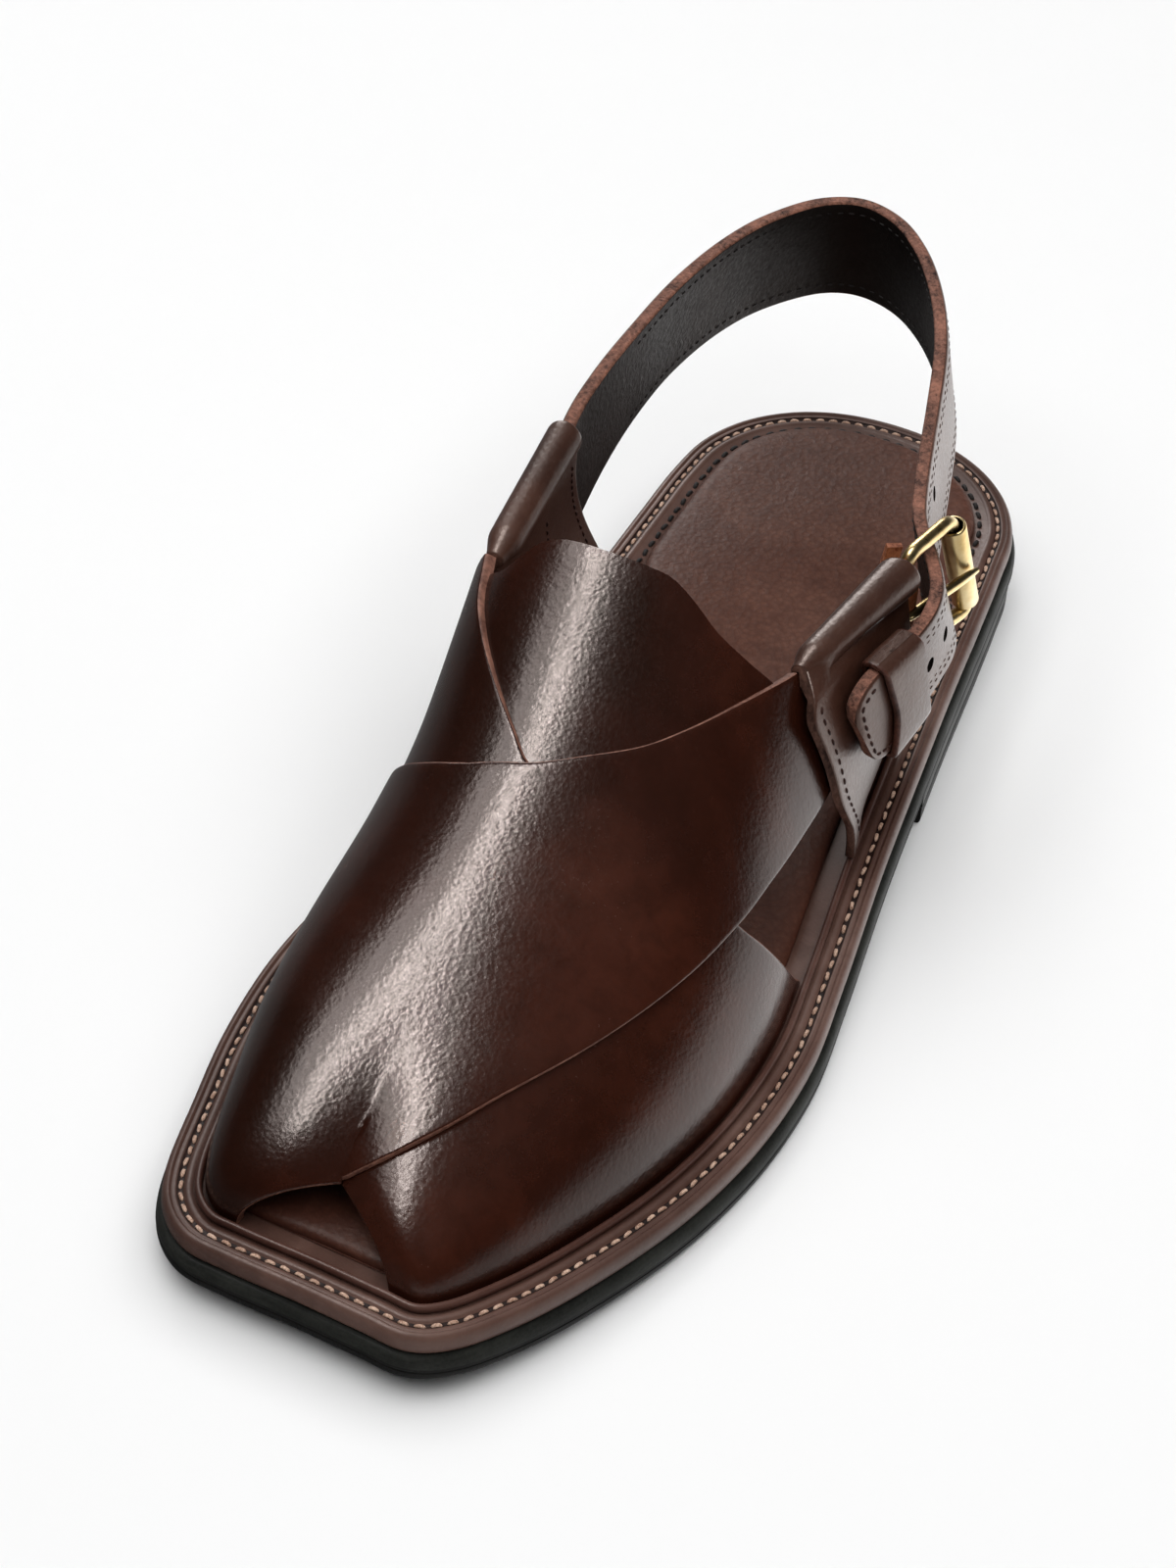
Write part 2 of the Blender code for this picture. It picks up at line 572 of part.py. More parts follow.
def patch(name, runs, counts, rows, top, bottom, rounded, mat):
    """Slab on the last between pairs of edges; top and bottom are lifts, as functions of section and turn."""
    near = []
    far = []
    for (front, rear), count in zip(runs, counts):
        start = 1 if near else 0
        near.append(edge_run(front, count)[start:])
        far.append(edge_run(rear, count)[start:])
    near = np.clip(np.vstack(near), (0.0, 0.0), (7.0, 180.0))
    far = np.clip(np.vstack(far), (0.0, 0.0), (7.0, 180.0))
    width = np.linalg.norm(last_surface(*near.T) - last_surface(*far.T), axis=1)
    share = np.linspace(0.0, 1.0, rows)[None, :].repeat(len(near), axis=0)
    if rounded:
        inset = (STRAP_EDGE_ROUND / width)[:, None]
        share = np.hstack([np.zeros_like(inset), inset + (1.0 - 2.0 * inset) * np.linspace(0.0, 1.0, rows - 2),
                           np.ones_like(inset)])
    section = near[:, None, 0] * (1.0 - share) + far[:, None, 0] * share
    turn = near[:, None, 1] * (1.0 - share) + far[:, None, 1] * share
    lift = top(section, turn)
    if rounded:
        lift[:, 0] -= STRAP_EDGE_DROP
        lift[:, -1] -= STRAP_EDGE_DROP
    outer = on_last(section, turn, lift)
    inner = on_last(section, turn, bottom(section, turn))
    if not rounded:
        past_foot = (turn < 0.01) | (turn > 179.99)
        outer[..., 2] -= 3.0 * past_foot
        inner[..., 2] -= 3.0 * past_foot
    return shell(name, outer, inner, mat)


def level(value):
    def lift(section, turn):
        return np.full(np.shape(section), float(value))
    return lift


def over_lift(section, turn):
    """The over-strap lies one step higher where the under-strap is beneath it."""
    under_edge = np.array(UNDER_FRONT)
    front = np.interp(section, under_edge[:, 0], under_edge[:, 1])
    covered = ease(turn - front, -26.0, 2.0) * (1.0 - ease(section, 5.0, 6.4))
    return STRAP_STEP * (1.0 + covered)


def make_upper(mat):
    turn = np.linspace(0.0, 180.0, LINING_COLUMNS)
    throat = np.array(THROAT_EDGE)
    last_row = smooth_path(throat * (1.0, 40.0), 400) / (1.0, 40.0)
    edge = np.interp(turn, last_row[:, 0], last_row[:, 1]).clip(0.0, 7.0)
    share = np.linspace(0.0, 1.0, LINING_ROWS)[:, None]
    section = TOE_SETBACK + (edge[None, :] - TOE_SETBACK) * share
    turn = turn[None, :].repeat(LINING_ROWS, axis=0)
    upper = shell("upper", on_last(section, turn, np.zeros(section.shape)),
                  on_last(section, turn, np.full(section.shape, -LINING_DEPTH)), mat)
    cuts = [patch("cut_notch_lateral", LATERAL_NOTCH, (6, 9), 7, level(2.5), level(-4.5), False, mat),
            patch("cut_notch_medial", MEDIAL_NOTCH, (6, 9), 7, level(2.5), level(-4.5), False, mat)]
    straps = [patch("under_strap", ((TOE_HALF_UNDER, UNDER_REAR_FORE), (UNDER_FRONT, UNDER_REAR_AFT)),
                    (FORE_COLUMNS, AFT_COLUMNS), STRAP_ROWS, level(STRAP_STEP), level(-STRAP_ROOT), True, mat),
              patch("over_strap", ((TOE_HALF_OVER, OVER_REAR_FORE), (OVER_FRONT, OVER_REAR_AFT)),
                    (FORE_COLUMNS, AFT_COLUMNS), STRAP_ROWS, over_lift, level(-STRAP_ROOT), True, mat)]
    for tool in cuts:
        combine(upper, tool, "DIFFERENCE")
    for tool in straps:
        combine(upper, tool, "UNION")
    return upper


# ------------------------------------------------------------------ quarters

def quarter_middle(table, share, height):
    """Point of a quarter's middle surface: share of the way back, height from foot 0 to roll 1."""
    roll_turn, foot_y, roll_x, roll_y, roll_z, bulge = table[:6]
    lateral = roll_turn > 90.0
    foot_turn = 180.0 if lateral else 0.0
    front_turn = foot_turn + (roll_turn - foot_turn) * height
    front = last_surface(7.0, front_turn) + (0.0, QUARTER_GAP, 0.0)
    roll = last_surface(7.0, roll_turn)
    front += np.array([table[8] - roll[0], 0.0, table[9] - roll[2]]) * height ** table[14]
    front[1] -= table[12] * ease(height, 0.0, 0.45) * (1.0 - ease(height, 0.7, 1.0))
    front += last_normal(7.0, front_turn) * table[13] * ease(height, 0.0, 0.2) * (1.0 - ease(height, 0.9, 1.0))
    line = FEATHER_LATERAL if lateral else FEATHER_MEDIAL
    behind = line[line[:, 1] > -60.0]
    foot_x = np.interp(foot_y, behind[:, 1], behind[:, 0])
    sole = FLOOR_HEIGHT + GAP
    rear_foot = np.array([foot_x, foot_y, tread_height(foot_y) + sole])
    rear = rear_foot + (np.array([roll_x, roll_y, roll_z]) - rear_foot) * height
    rear[0] += (1.0 if lateral else -1.0) * bulge * math.sin(math.pi * height)
    point = front + (rear - front) * share
    start = last_surface(7.0, foot_turn)
    y = start[1] + QUARTER_GAP + (foot_y - start[1] - QUARTER_GAP) * share
    foot = np.array([np.interp(y, behind[:, 1], behind[:, 0]), y, tread_height(y) + sole])
    straight = start + (0.0, QUARTER_GAP, 0.0) + (rear_foot - start - (0.0, QUARTER_GAP, 0.0)) * share
    return point + (foot - straight) * (1.0 - height) ** 2


def quarter_ring(table, share):
    side = 1.0 if table[0] > 90.0 else -1.0
    half = 0.5 * (table[6] + (table[7] - table[6]) * ease(share, 0.15, 0.6) * ease(QUARTER_HEIGHTS, 0.0, 0.35))
    middle = [quarter_middle(table, share, h) for h in QUARTER_HEIGHTS]
    roll = quarter_middle(table, share, 1.0)
    radius = table[10] + (table[11] - table[10]) * share
    outside = []
    inside = []
    for k, point in enumerate(middle):
        ahead = (middle[k + 1] if k + 1 < len(middle) else roll) - (middle[k - 1] if k else point)
        across = np.array([ahead[2], 0.0, -ahead[0]]) / math.hypot(ahead[0], ahead[2]) * side
        if k == 0:
            across = np.array([side, 0.0, 0.0])
        outside.append(point + across * half[k])
        inside.append(point - across * half[k])
    lean = math.atan2(roll[2] - middle[-1][2], (roll[0] - middle[-1][0]) * side)
    arc = []
    for k in range(ROLL_POINTS):
        angle = lean - math.radians(128.0) + math.radians(256.0) * k / (ROLL_POINTS - 1)
        arc.append(roll + radius * np.array([side * math.cos(angle), 0.0, math.sin(angle)]))
    return np.array(outside + arc + inside[::-1])


def make_quarter(name, table, mat):
    quarter = loft(name, [quarter_ring(table, share) for share in QUARTER_STATIONS], mat)
    rings = []
    for share in (-0.1,) + QUARTER_STATIONS[1:-1] + (1.1,):
        roll = quarter_middle(table, share, 1.0)
        turns = np.linspace(0.0, 2.0 * math.pi, ROLL_POINTS + 1)[:-1]
        radius = table[10] + (table[11] - table[10]) * share - ROLL_WALL
        rings.append(roll + radius * np.column_stack([np.cos(turns), 0.0 * turns, np.sin(turns)]))
    combine(quarter, loft("cut_roll_" + name, rings, mat), "DIFFERENCE")
    return quarter


def strap_recess(mat):
    """Room for the over-strap's end under the lateral quarter."""
    turn = np.linspace(*RECESS_TURNS, 23)[None, :].repeat(7, axis=0)
    section = np.linspace(6.0, 7.0, 7)[:, None].repeat(23, axis=1)
    walls = []
    for lift in (STRAP_STEP + GAP, -LINING_DEPTH - GAP):
        wall = on_last(section, turn, np.full(turn.shape, lift))
        walls.append(np.concatenate([wall, wall[-1:] + (0.0, GAP, 0.0)]))
    return shell("cut_strap_end", walls[0], walls[1], mat)


# ------------------------------------------------------------------ heel strap and keeper

def strap_stations():
    """Rows of top x, y, bottom x, y, middle height, half height, bow, from the medial quarter to the tip."""
    inside = []
    for share, middle in zip(SLOT_SHARES, SLOT_MIDDLE):
        levels = []
        for aim in (middle + 13.0, middle, middle - 13.0):
            heights = np.linspace(0.0, 1.0, 41)
            wall = np.array([quarter_middle(MEDIAL_QUARTER, share, h) for h in heights])
            at = np.interp(aim, wall[:, 2], heights)
            levels.append(quarter_middle(MEDIAL_QUARTER, share, at))
        top, centre, bottom = levels
        bow = centre[0] - 0.5 * (top[0] + bottom[0])
        outer = 0.5 * STRAP_THICKNESS
        inside.append((top[0] - outer, top[1], bottom[0] - outer, bottom[1], middle, 13.0, bow))
    outside = [row + (0.0,) for row in STRAP_ROWS_TABLE]
    return smooth_path(np.array(inside + outside), STRAP_STATIONS)


def strap_rings(stations, grow=0.0):
    """Closed sections of the heel strap; grow widens each by that much on every side."""
    centre = 0.5 * (stations[:, 0:2] + stations[:, 2:4])
    ahead = np.gradient(centre, axis=0)
    ahead /= np.linalg.norm(ahead, axis=1)[:, None]
    rings = []
    for row, tangent in zip(stations, ahead):
        out = np.array([-tangent[1], tangent[0], 0.0])
        top = np.array([row[0], row[1], row[4] + row[5]])
        bottom = np.array([row[2], row[3], row[4] - row[5]])
        up = (top - bottom) / np.linalg.norm(top - bottom)
        middle = 0.5 * (top + bottom) + (row[6], 0.0, 0.0)
        high, low = top + up * grow, bottom - up * grow
        half = 0.5 * STRAP_THICKNESS + grow
        middle = middle - out * 0.5 * STRAP_THICKNESS
        high, low = high - out * 0.5 * STRAP_THICKNESS, low - out * 0.5 * STRAP_THICKNESS
        corner = STRAP_CORNER
        ring = [low - out * (half - corner), low + out * (half - corner), low + up * corner + out * half,
                middle + out * half, high - up * corner + out * half, high + out * (half - corner),
                high - out * (half - corner), high - up * corner - out * half, middle - out * half,
                low + up * corner - out * half]
        rings.append(np.array(ring))
    return rings


def stations_at(stations, values):
    """Strap stations on its free end at given y."""
    back = int(np.argmax(stations[:, 1]))
    free = stations[back:][stations[back:, 1] < 40.0]
    order = np.argsort(free[:, 1])
    rows = [[np.interp(y, free[order, 1], free[order, k]) for k in range(free.shape[1])] for y in values]
    return np.array(rows)


def make_keeper(stations, mat):
    along = stations_at(stations, np.linspace(KEEPER_REAR_Y, KEEPER_FRONT_Y, 4))
    inner = strap_rings(along, STRAP_CLEARANCE)
    outer = strap_rings(along, STRAP_CLEARANCE + KEEPER_WALL)
    return loft("keeper_loop", outer + inner[::-1], mat, closed_along=True)


# ------------------------------------------------------------------ buckle

def rod(name, path, radius, sides, mat, closed=False):
    """Round bar swept along a path."""
    path = np.asarray(path, float)
    if closed:
        ahead = np.roll(path, -1, axis=0) - np.roll(path, 1, axis=0)
    else:
        ahead = np.gradient(path, axis=0)
    ahead /= np.linalg.norm(ahead, axis=1)[:, None]
    side = np.cross(ahead[0], (0.0, 0.0, 1.0) if abs(ahead[0, 2]) < 0.8 else (1.0, 0.0, 0.0))
    rings = []
    for point, tangent in zip(path, ahead):
        side = side - tangent * np.dot(side, tangent)
        side /= np.linalg.norm(side)
        other = np.cross(tangent, side)
        turns = np.linspace(0.0, 2.0 * math.pi, sides + 1)[:-1]
        rings.append(point + radius * (np.cos(turns)[:, None] * side + np.sin(turns)[:, None] * other))
    return loft(name, rings, mat, closed_along=closed)


def rounded_loop(corners, radius, steps):
    """Closed path through corners, each rounded with an arc-like blend."""
    corners = np.asarray(corners, float)
    path = []
    for i, corner in enumerate(corners):
        before = corners[i - 1] - corner
        after = corners[(i + 1) % len(corners)] - corner
        enter = corner + before / np.linalg.norm(before) * radius
        leave = corner + after / np.linalg.norm(after) * radius
        for t in np.linspace(0.0, 1.0, steps):
            path.append((1 - t) ** 2 * enter + 2 * t * (1 - t) * corner + t * t * leave)
    return np.array(path)


def frame_corners():
    return np.array([(*NEAR_BAR, FRAME_BOTTOM_Z), (*NEAR_BAR, FRAME_TOP_Z),
                     (*FAR_TOP, FRAME_TOP_Z), (*FAR_BOTTOM, FRAME_BOTTOM_Z)])


def make_frame(mat):
    return rod("buckle_frame", rounded_loop(frame_corners(), FRAME_CORNER, 5), ROD_RADIUS, ROD_SIDES, mat,
               closed=True)


def make_roller(mat):
    top, bottom = frame_corners()[2:4]
    ends = [bottom + (top - bottom) * share for share in ROLLER_ENDS]
    axis = (top - bottom) / np.linalg.norm(top - bottom)
    side = np.cross(axis, (0.0, 1.0, 0.0))
    side /= np.linalg.norm(side)
    other = np.cross(axis, side)
    turns = np.linspace(0.0, 2.0 * math.pi, 17)[:-1]
    circle = np.cos(turns)[:, None] * side + np.sin(turns)[:, None] * other
    chamfer = 0.35
    rings = [ends[0] + circle * (ROLLER_RADIUS - chamfer), ends[0] + axis * chamfer + circle * ROLLER_RADIUS,
             ends[1] - axis * chamfer + circle * ROLLER_RADIUS, ends[1] + circle * (ROLLER_RADIUS - chamfer),
             ends[1] + circle * ROLLER_BORE, ends[0] + circle * ROLLER_BORE]
    return loft("buckle_roller", rings, mat, closed_along=True)


def prong_path():
    """From a loop round the near bar, out through the strap to the roller."""
    bar = np.array([*NEAR_BAR, PRONG_Z])
    radius = ROD_RADIUS + GAP + PRONG_RADIUS
    path = []
    for angle in np.radians(np.linspace(100.0, 340.0, 11)):
        path.append(bar + radius * np.array([math.cos(angle), math.sin(angle), 0.0]))
    top, bottom = frame_corners()[2:4]
    rest = bottom + (top - bottom) * (PRONG_Z - bottom[2]) / (top[2] - bottom[2])
    tip = rest + np.array([0.92, -0.1, 0.0]) * (ROLLER_RADIUS + 2.0 * GAP + PRONG_RADIUS)
    path += [tip + (path[-1] - tip) * share for share in (0.8, 0.5, 0.22, 0.0)]
    return np.array(path)


def make_prong(mat):
    return rod("buckle_prong", prong_path(), PRONG_RADIUS, 8, mat)


def make_chape(mat):
    bar = np.array(NEAR_BAR)
    inner = ROD_RADIUS + GAP
    outer = inner + CHAPE_THICKNESS
    plan = []
    for angle in np.radians(np.linspace(-100.0, 178.0, 12)):
        plan.append(bar + outer * np.array([math.cos(angle), math.sin(angle)]))
    near, away = CHAPE_TAIL_X - CHAPE_THICKNESS, CHAPE_TAIL_X + CHAPE_THICKNESS
    plan += [(near, 38.0), (near, CHAPE_TAIL_Y), (away, CHAPE_TAIL_Y), (away, 38.0)]
    plan = np.array(plan)
    low, high = CHAPE_LOW_Z, CHAPE_HIGH_Z
    rings = [np.column_stack([plan, np.full(len(plan), z)]) for z in (low, high)]
    chape = loft("buckle_chape", rings, mat)
    bore = rod("cut_bar_bore", [(*NEAR_BAR, low - 2.0), (*NEAR_BAR, high + 2.0)], inner, 12, mat)
    combine(chape, bore, "DIFFERENCE")
    return chape


def slot_cutter(mat):
    """The heel strap's room inside the medial quarter."""
    stations = strap_stations()
    first = stations[:12].copy()
    step = first[0] - first[1]
    first[0, :4] += step[:4] / np.linalg.norm(step[:2]) * 2.0 * GAP
    return loft("cut_strap_slot", strap_rings(first, SLOT_CLEARANCE), mat)


def main():
    clear_scene()
    rubber = material("rubber_outsole", (0.03, 0.032, 0.03), 0.7)
    heel_rubber = material("rubber_heel", (0.03, 0.032, 0.03), 0.7)
    welt_leather = material("leather_midsole", (0.11, 0.055, 0.042), 0.5)
    rand_leather = material("leather_rand", (0.06, 0.025, 0.015), 0.4)
    sock_leather = material("leather_insole", (0.14, 0.06, 0.047), 0.6)
    upper_leather = material("leather_upper", (0.06, 0.022, 0.013), 0.35)
    lateral_leather = material("leather_quarter_lateral", (0.06, 0.022, 0.013), 0.35)
    medial_leather = material("leather_quarter_medial", (0.06, 0.022, 0.013), 0.35)
    strap_leather = material("leather_heel_strap", (0.06, 0.022, 0.013), 0.35)
    keeper_leather = material("leather_keeper", (0.06, 0.022, 0.013), 0.35)
    chape_leather = material("leather_chape", (0.25, 0.09, 0.04), 0.7)
    brass_frame = material("brass_frame", (0.6, 0.43, 0.16), 0.3, 1.0)
    brass_roller = material("brass_roller", (0.6, 0.43, 0.16), 0.25, 1.0)
    brass_prong = material("brass_prong", (0.6, 0.43, 0.16), 0.3, 1.0)
    sole_layer("outsole", OUTSOLE_PROFILE, rubber)
    make_heel_block(heel_rubber)
    sole_layer("midsole", MIDSOLE_PROFILE, welt_leather)
    make_rand(rand_leather)
    make_insole(sock_leather)
    make_upper(upper_leather)
    lateral = make_quarter("quarter_lateral", LATERAL_QUARTER, lateral_leather)
    combine(lateral, strap_recess(lateral_leather), "DIFFERENCE")
    medial = make_quarter("quarter_medial", MEDIAL_QUARTER, medial_leather)
    combine(medial, slot_cutter(medial_leather), "DIFFERENCE")
    stations = strap_stations()
    strap = loft("heel_strap", strap_rings(stations), strap_leather)
    combine(strap, rod("cut_prong_hole", prong_path()[10:], PRONG_RADIUS + GAP, 8, strap_leather), "DIFFERENCE")
    make_keeper(stations, keeper_leather)
    make_frame(brass_frame)
    make_roller(brass_roller)
    make_prong(brass_prong)
    chape = make_chape(chape_leather)
    combine(chape, rod("cut_prong_slot", prong_path(), PRONG_RADIUS + GAP, 8, chape_leather), "DIFFERENCE")


if __name__ == "__main__":
    main()
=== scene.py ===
"""Looks of a left peshawari chappal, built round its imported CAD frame.

Positions are the frame's own: toe towards -Y, heel towards +Y, outer side towards +X, ground at z = 0. The
tables below are the part's named sizes in millimetres, before the small shift that centres the whole shoe.
"""

import math
from collections import namedtuple

import bmesh
import bpy
import numpy as np
from mathutils import Euler, Matrix, Vector


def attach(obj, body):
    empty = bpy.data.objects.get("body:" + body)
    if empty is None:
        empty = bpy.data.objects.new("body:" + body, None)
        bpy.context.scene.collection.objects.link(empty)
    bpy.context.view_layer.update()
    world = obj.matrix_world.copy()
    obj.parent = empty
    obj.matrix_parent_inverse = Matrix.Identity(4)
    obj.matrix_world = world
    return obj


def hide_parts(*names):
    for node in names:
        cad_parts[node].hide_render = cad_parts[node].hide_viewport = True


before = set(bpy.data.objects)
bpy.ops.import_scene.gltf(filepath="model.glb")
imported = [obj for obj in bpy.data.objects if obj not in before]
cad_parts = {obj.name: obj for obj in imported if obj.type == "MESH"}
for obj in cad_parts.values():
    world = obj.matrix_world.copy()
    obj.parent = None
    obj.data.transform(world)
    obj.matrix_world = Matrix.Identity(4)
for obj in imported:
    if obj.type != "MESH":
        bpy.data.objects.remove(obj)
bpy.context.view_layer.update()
MM = 0.001
SHIFT = np.array((-0.714, -0.338, 0.0))
GAP = 0.3
# ---- plan of the sole: the stitch line of the welt, half widths from the last's centre line ----
# y, x of the medial side, x of the lateral side
WELT_STATIONS = (
    (-131.0, -40.6, 28.6),
    (-112.0, -45.3, 38.0),
    (-92.0, -49.3, 45.6),
    (-70.0, -50.8, 50.7),
    (-48.0, -48.6, 52.3),
    (-24.0, -43.6, 50.2),
    (4.0, -41.0, 47.2),
    (32.0, -39.9, 44.8),
    (62.0, -38.9, 41.9),
    (90.0, -38.4, 39.6),
)
TOE_LINE = ((-36.9, -138.0), (-31.0, -142.6), (-23.0, -143.6), (-7.0, -144.3),
            (7.0, -145.3), (15.0, -145.7), (20.6, -142.2))
HEEL_START_Y = 108.0
HEEL_HALF_WIDTH = 37.9
HEEL_END_Y = 146.0
HEEL_SQUARENESS = 2.15
HEEL_POINTS = 11
TOE_POINTS = 44               # points of a half outline before, beside and behind the side stations
HEEL_END_POINTS = 36
SIDE_STATIONS = np.linspace(-124.0, 116.0, 97)
RIM_COUNT = 2 * (TOE_POINTS + HEEL_END_POINTS + len(SIDE_STATIONS) - 3)
BEND_WEIGHT = 28.0            # a radian of bend takes as many points as this length

# ---- side view of the sole ----
TREAD_FLAT_FRONT = -66.0      # toe spring starts in front of this y
TOE_SPRING = 5.0
TOE_SPRING_RUN = 80.0
ARCH_START = -46.0
ARCH_END = 39.0
HEEL_RISE = 10.0
FLOOR_HEIGHT = 10.6           # top of the midsole inside the rim
HEEL_BREAST_Y = 39.5

# ---- layer edges, offset from the stitch line, positive outwards ----
FEATHER_OFFSET = -6.3         # where the last's surface meets the sole
INSOLE_FORE_OFFSET = -8.6
INSOLE_HEEL_OFFSET = -5.7
LATERAL_STEP_Y = 42.0         # insole widens behind the lateral quarter
MEDIAL_STEP_Y = 60.0
INSOLE_STEP_RUN = 16.0

RAND_END_LATERAL = 41.0
RAND_END_MEDIAL = 49.0

# ---- upper, sections of the last ----
# run of the feather line from the middle of the toe to the section's medial and lateral foot, then x, y, z of
# the ridge, squareness of each side and how far each side bulges over its foot
LAST_SECTIONS = (
    (18.0, 14.5, -8.0, -127.6, 23.6, 2.1, 2.0, 0.0, 0.0),
    (30.0, 26.5, -8.0, -117.0, 30.4, 2.25, 2.0, 0.8, 0.3),
    (47.0, 49.0, -8.4, -103.0, 37.2, 2.35, 2.0, 1.0, 0.4),
    (69.0, 73.0, -9.0, -86.0, 44.4, 2.25, 2.0, 0.7, 0.2),
    (92.0, 97.0, -9.4, -67.0, 51.8, 2.1, 2.0, 0.4, 0.0),
    (116.0, 121.0, -9.8, -46.0, 60.2, 2.25, 2.0, 1.8, -0.4),
    (140.0, 146.0, -12.0, -24.0, 71.4, 2.45, 2.1, 6.8, -0.6),
    (163.0, 171.5, -15.2, -2.6, 84.0, 2.4, 2.2, 11.0, -0.6),
)
REAR_SECTION = 7.0            # number of the last's rearmost section
LINING_DEPTH = 1.6            # inner face of the upper below the last's surface
STRAP_STEP = 1.6              # each strap stands this far above what it crosses
STRAP_ROOT = 0.9              # a strap's underside inside the wall that carries it

# ---- straps of the upper: edges on the last as (section number, turn in degrees from the medial foot) ----
# over-strap: medial forefoot to lateral ankle; under-strap: lateral forefoot to medial ankle
TOE_HALF_OVER = ((0.0, 0.05), (0.0, 30.0), (0.0, 60.0), (0.0, 90.0))
TOE_HALF_UNDER = ((0.0, 179.95), (0.0, 150.0), (0.0, 120.0), (0.0, 91.0))
OVER_REAR_FORE = ((5.54, 0.05), (5.36, 10.0), (5.3, 20.0), (5.24, 33.0), (5.12, 44.0), (4.99, 58.0),
                  (4.94, 69.0), (4.94, 75.0))
OVER_REAR_AFT = ((4.94, 75.0), (4.99, 83.2), (5.07, 91.0), (5.32, 101.0), (5.6, 110.0), (5.96, 118.0),
                 (6.41, 126.7), (6.89, 135.5), (7.0, 137.3))
OVER_FRONT = ((0.0, 90.0), (0.2, 96.0), (0.96, 108.0), (1.57, 115.8), (2.11, 121.2), (3.12, 131.0),
              (4.29, 140.0), (4.91, 144.1), (5.43, 148.1), (5.87, 152.5), (6.5, 158.4), (7.0, 162.0))
UNDER_REAR_FORE = ((5.72, 179.95), (5.54, 174.5), (5.32, 164.3), (5.14, 153.7), (5.02, 145.0),
                   (4.95, 125.0), (4.9, 105.0))
UNDER_REAR_AFT = ((4.9, 105.0), (5.07, 90.4), (5.32, 83.5), (5.75, 72.5), (6.17, 63.1), (6.55, 56.2),
                  (6.87, 53.3), (7.0, 52.0))
UNDER_FRONT = ((0.0, 91.0), (1.0, 74.0), (2.1, 60.0), (3.2, 48.0), (4.3, 35.0), (5.1, 22.0), (5.5, 17.0),
               (6.06, 12.8), (6.55, 11.2), (7.0, 10.5))
# rear edge of the tongue: turn, section number
THROAT_EDGE = ((0.0, 6.9), (48.0, 6.85), (56.0, 6.78), (61.0, 6.75), (68.0, 6.84), (74.0, 6.95), (82.0, 7.0),
               (104.0, 7.0), (110.0, 6.92), (118.0, 6.79), (127.0, 6.77), (137.0, 6.82), (180.0, 6.9))
# side notches, cut a little behind the straps' edges
LATERAL_NOTCH = (
    (((4.95, 143.4), (5.4, 146.6)),
     ((4.95, 144.6), (5.08, 153.7), (5.26, 164.3), (5.48, 174.5), (5.64, 180.0))),
    (((5.4, 146.6), (5.87, 151.3), (6.5, 157.2), (7.0, 160.8)), ((5.64, 180.0), (7.0, 180.0))),
)
MEDIAL_NOTCH = (
    (((5.02, 23.6), (5.5, 18.4)), ((5.02, 22.4), (5.23, 10.0), (5.46, 0.0))),
    (((5.5, 18.4), (6.06, 14.2), (6.55, 12.6), (7.0, 12.0)), ((5.46, 0.0), (7.0, 0.0))),
)
TOE_SETBACK = 0.09            # lining stops this far behind the straps' toe edge, in sections

# ---- quarters: the wall behind the upper, with a rolled top ----
ROLL_WALL = 1.7
# turn of the roll on the last's rear section; the rear edge's foot, its roll and how far it bulges; thickness
# of the wall; the roll's place at the front and its radius; how far the front edge laps forward and outward
# over the strap; power of height with which the front edge turns towards the roll
Quarter = namedtuple("Quarter", "turn foot_y roll_x roll_y roll_z bulge front_wall rear_wall front_x front_z "
                     "front_radius rear_radius forward outward power")
LATERAL_QUARTER = Quarter(137.5, 39.5, 36.9, 36.4, 68.4, 2.6, 2.2, 3.2, 28.2, 64.2, 3.6, 4.8, 8.0, 3.2, 8.0)
MEDIAL_QUARTER = Quarter(52.0, 57.0, -39.9, 36.5, 77.6, 5.5, 3.2, 6.6, -38.9, 70.2, 3.7, 4.0, 0.0, 0.0, 2.0)
QUARTER_GAP = 0.55
RAND_CLEARANCE = 2.0          # the outer wall's front corner stands this far over the sole, clear of the rand
RECESS_TURNS = (118.0, 172.0)

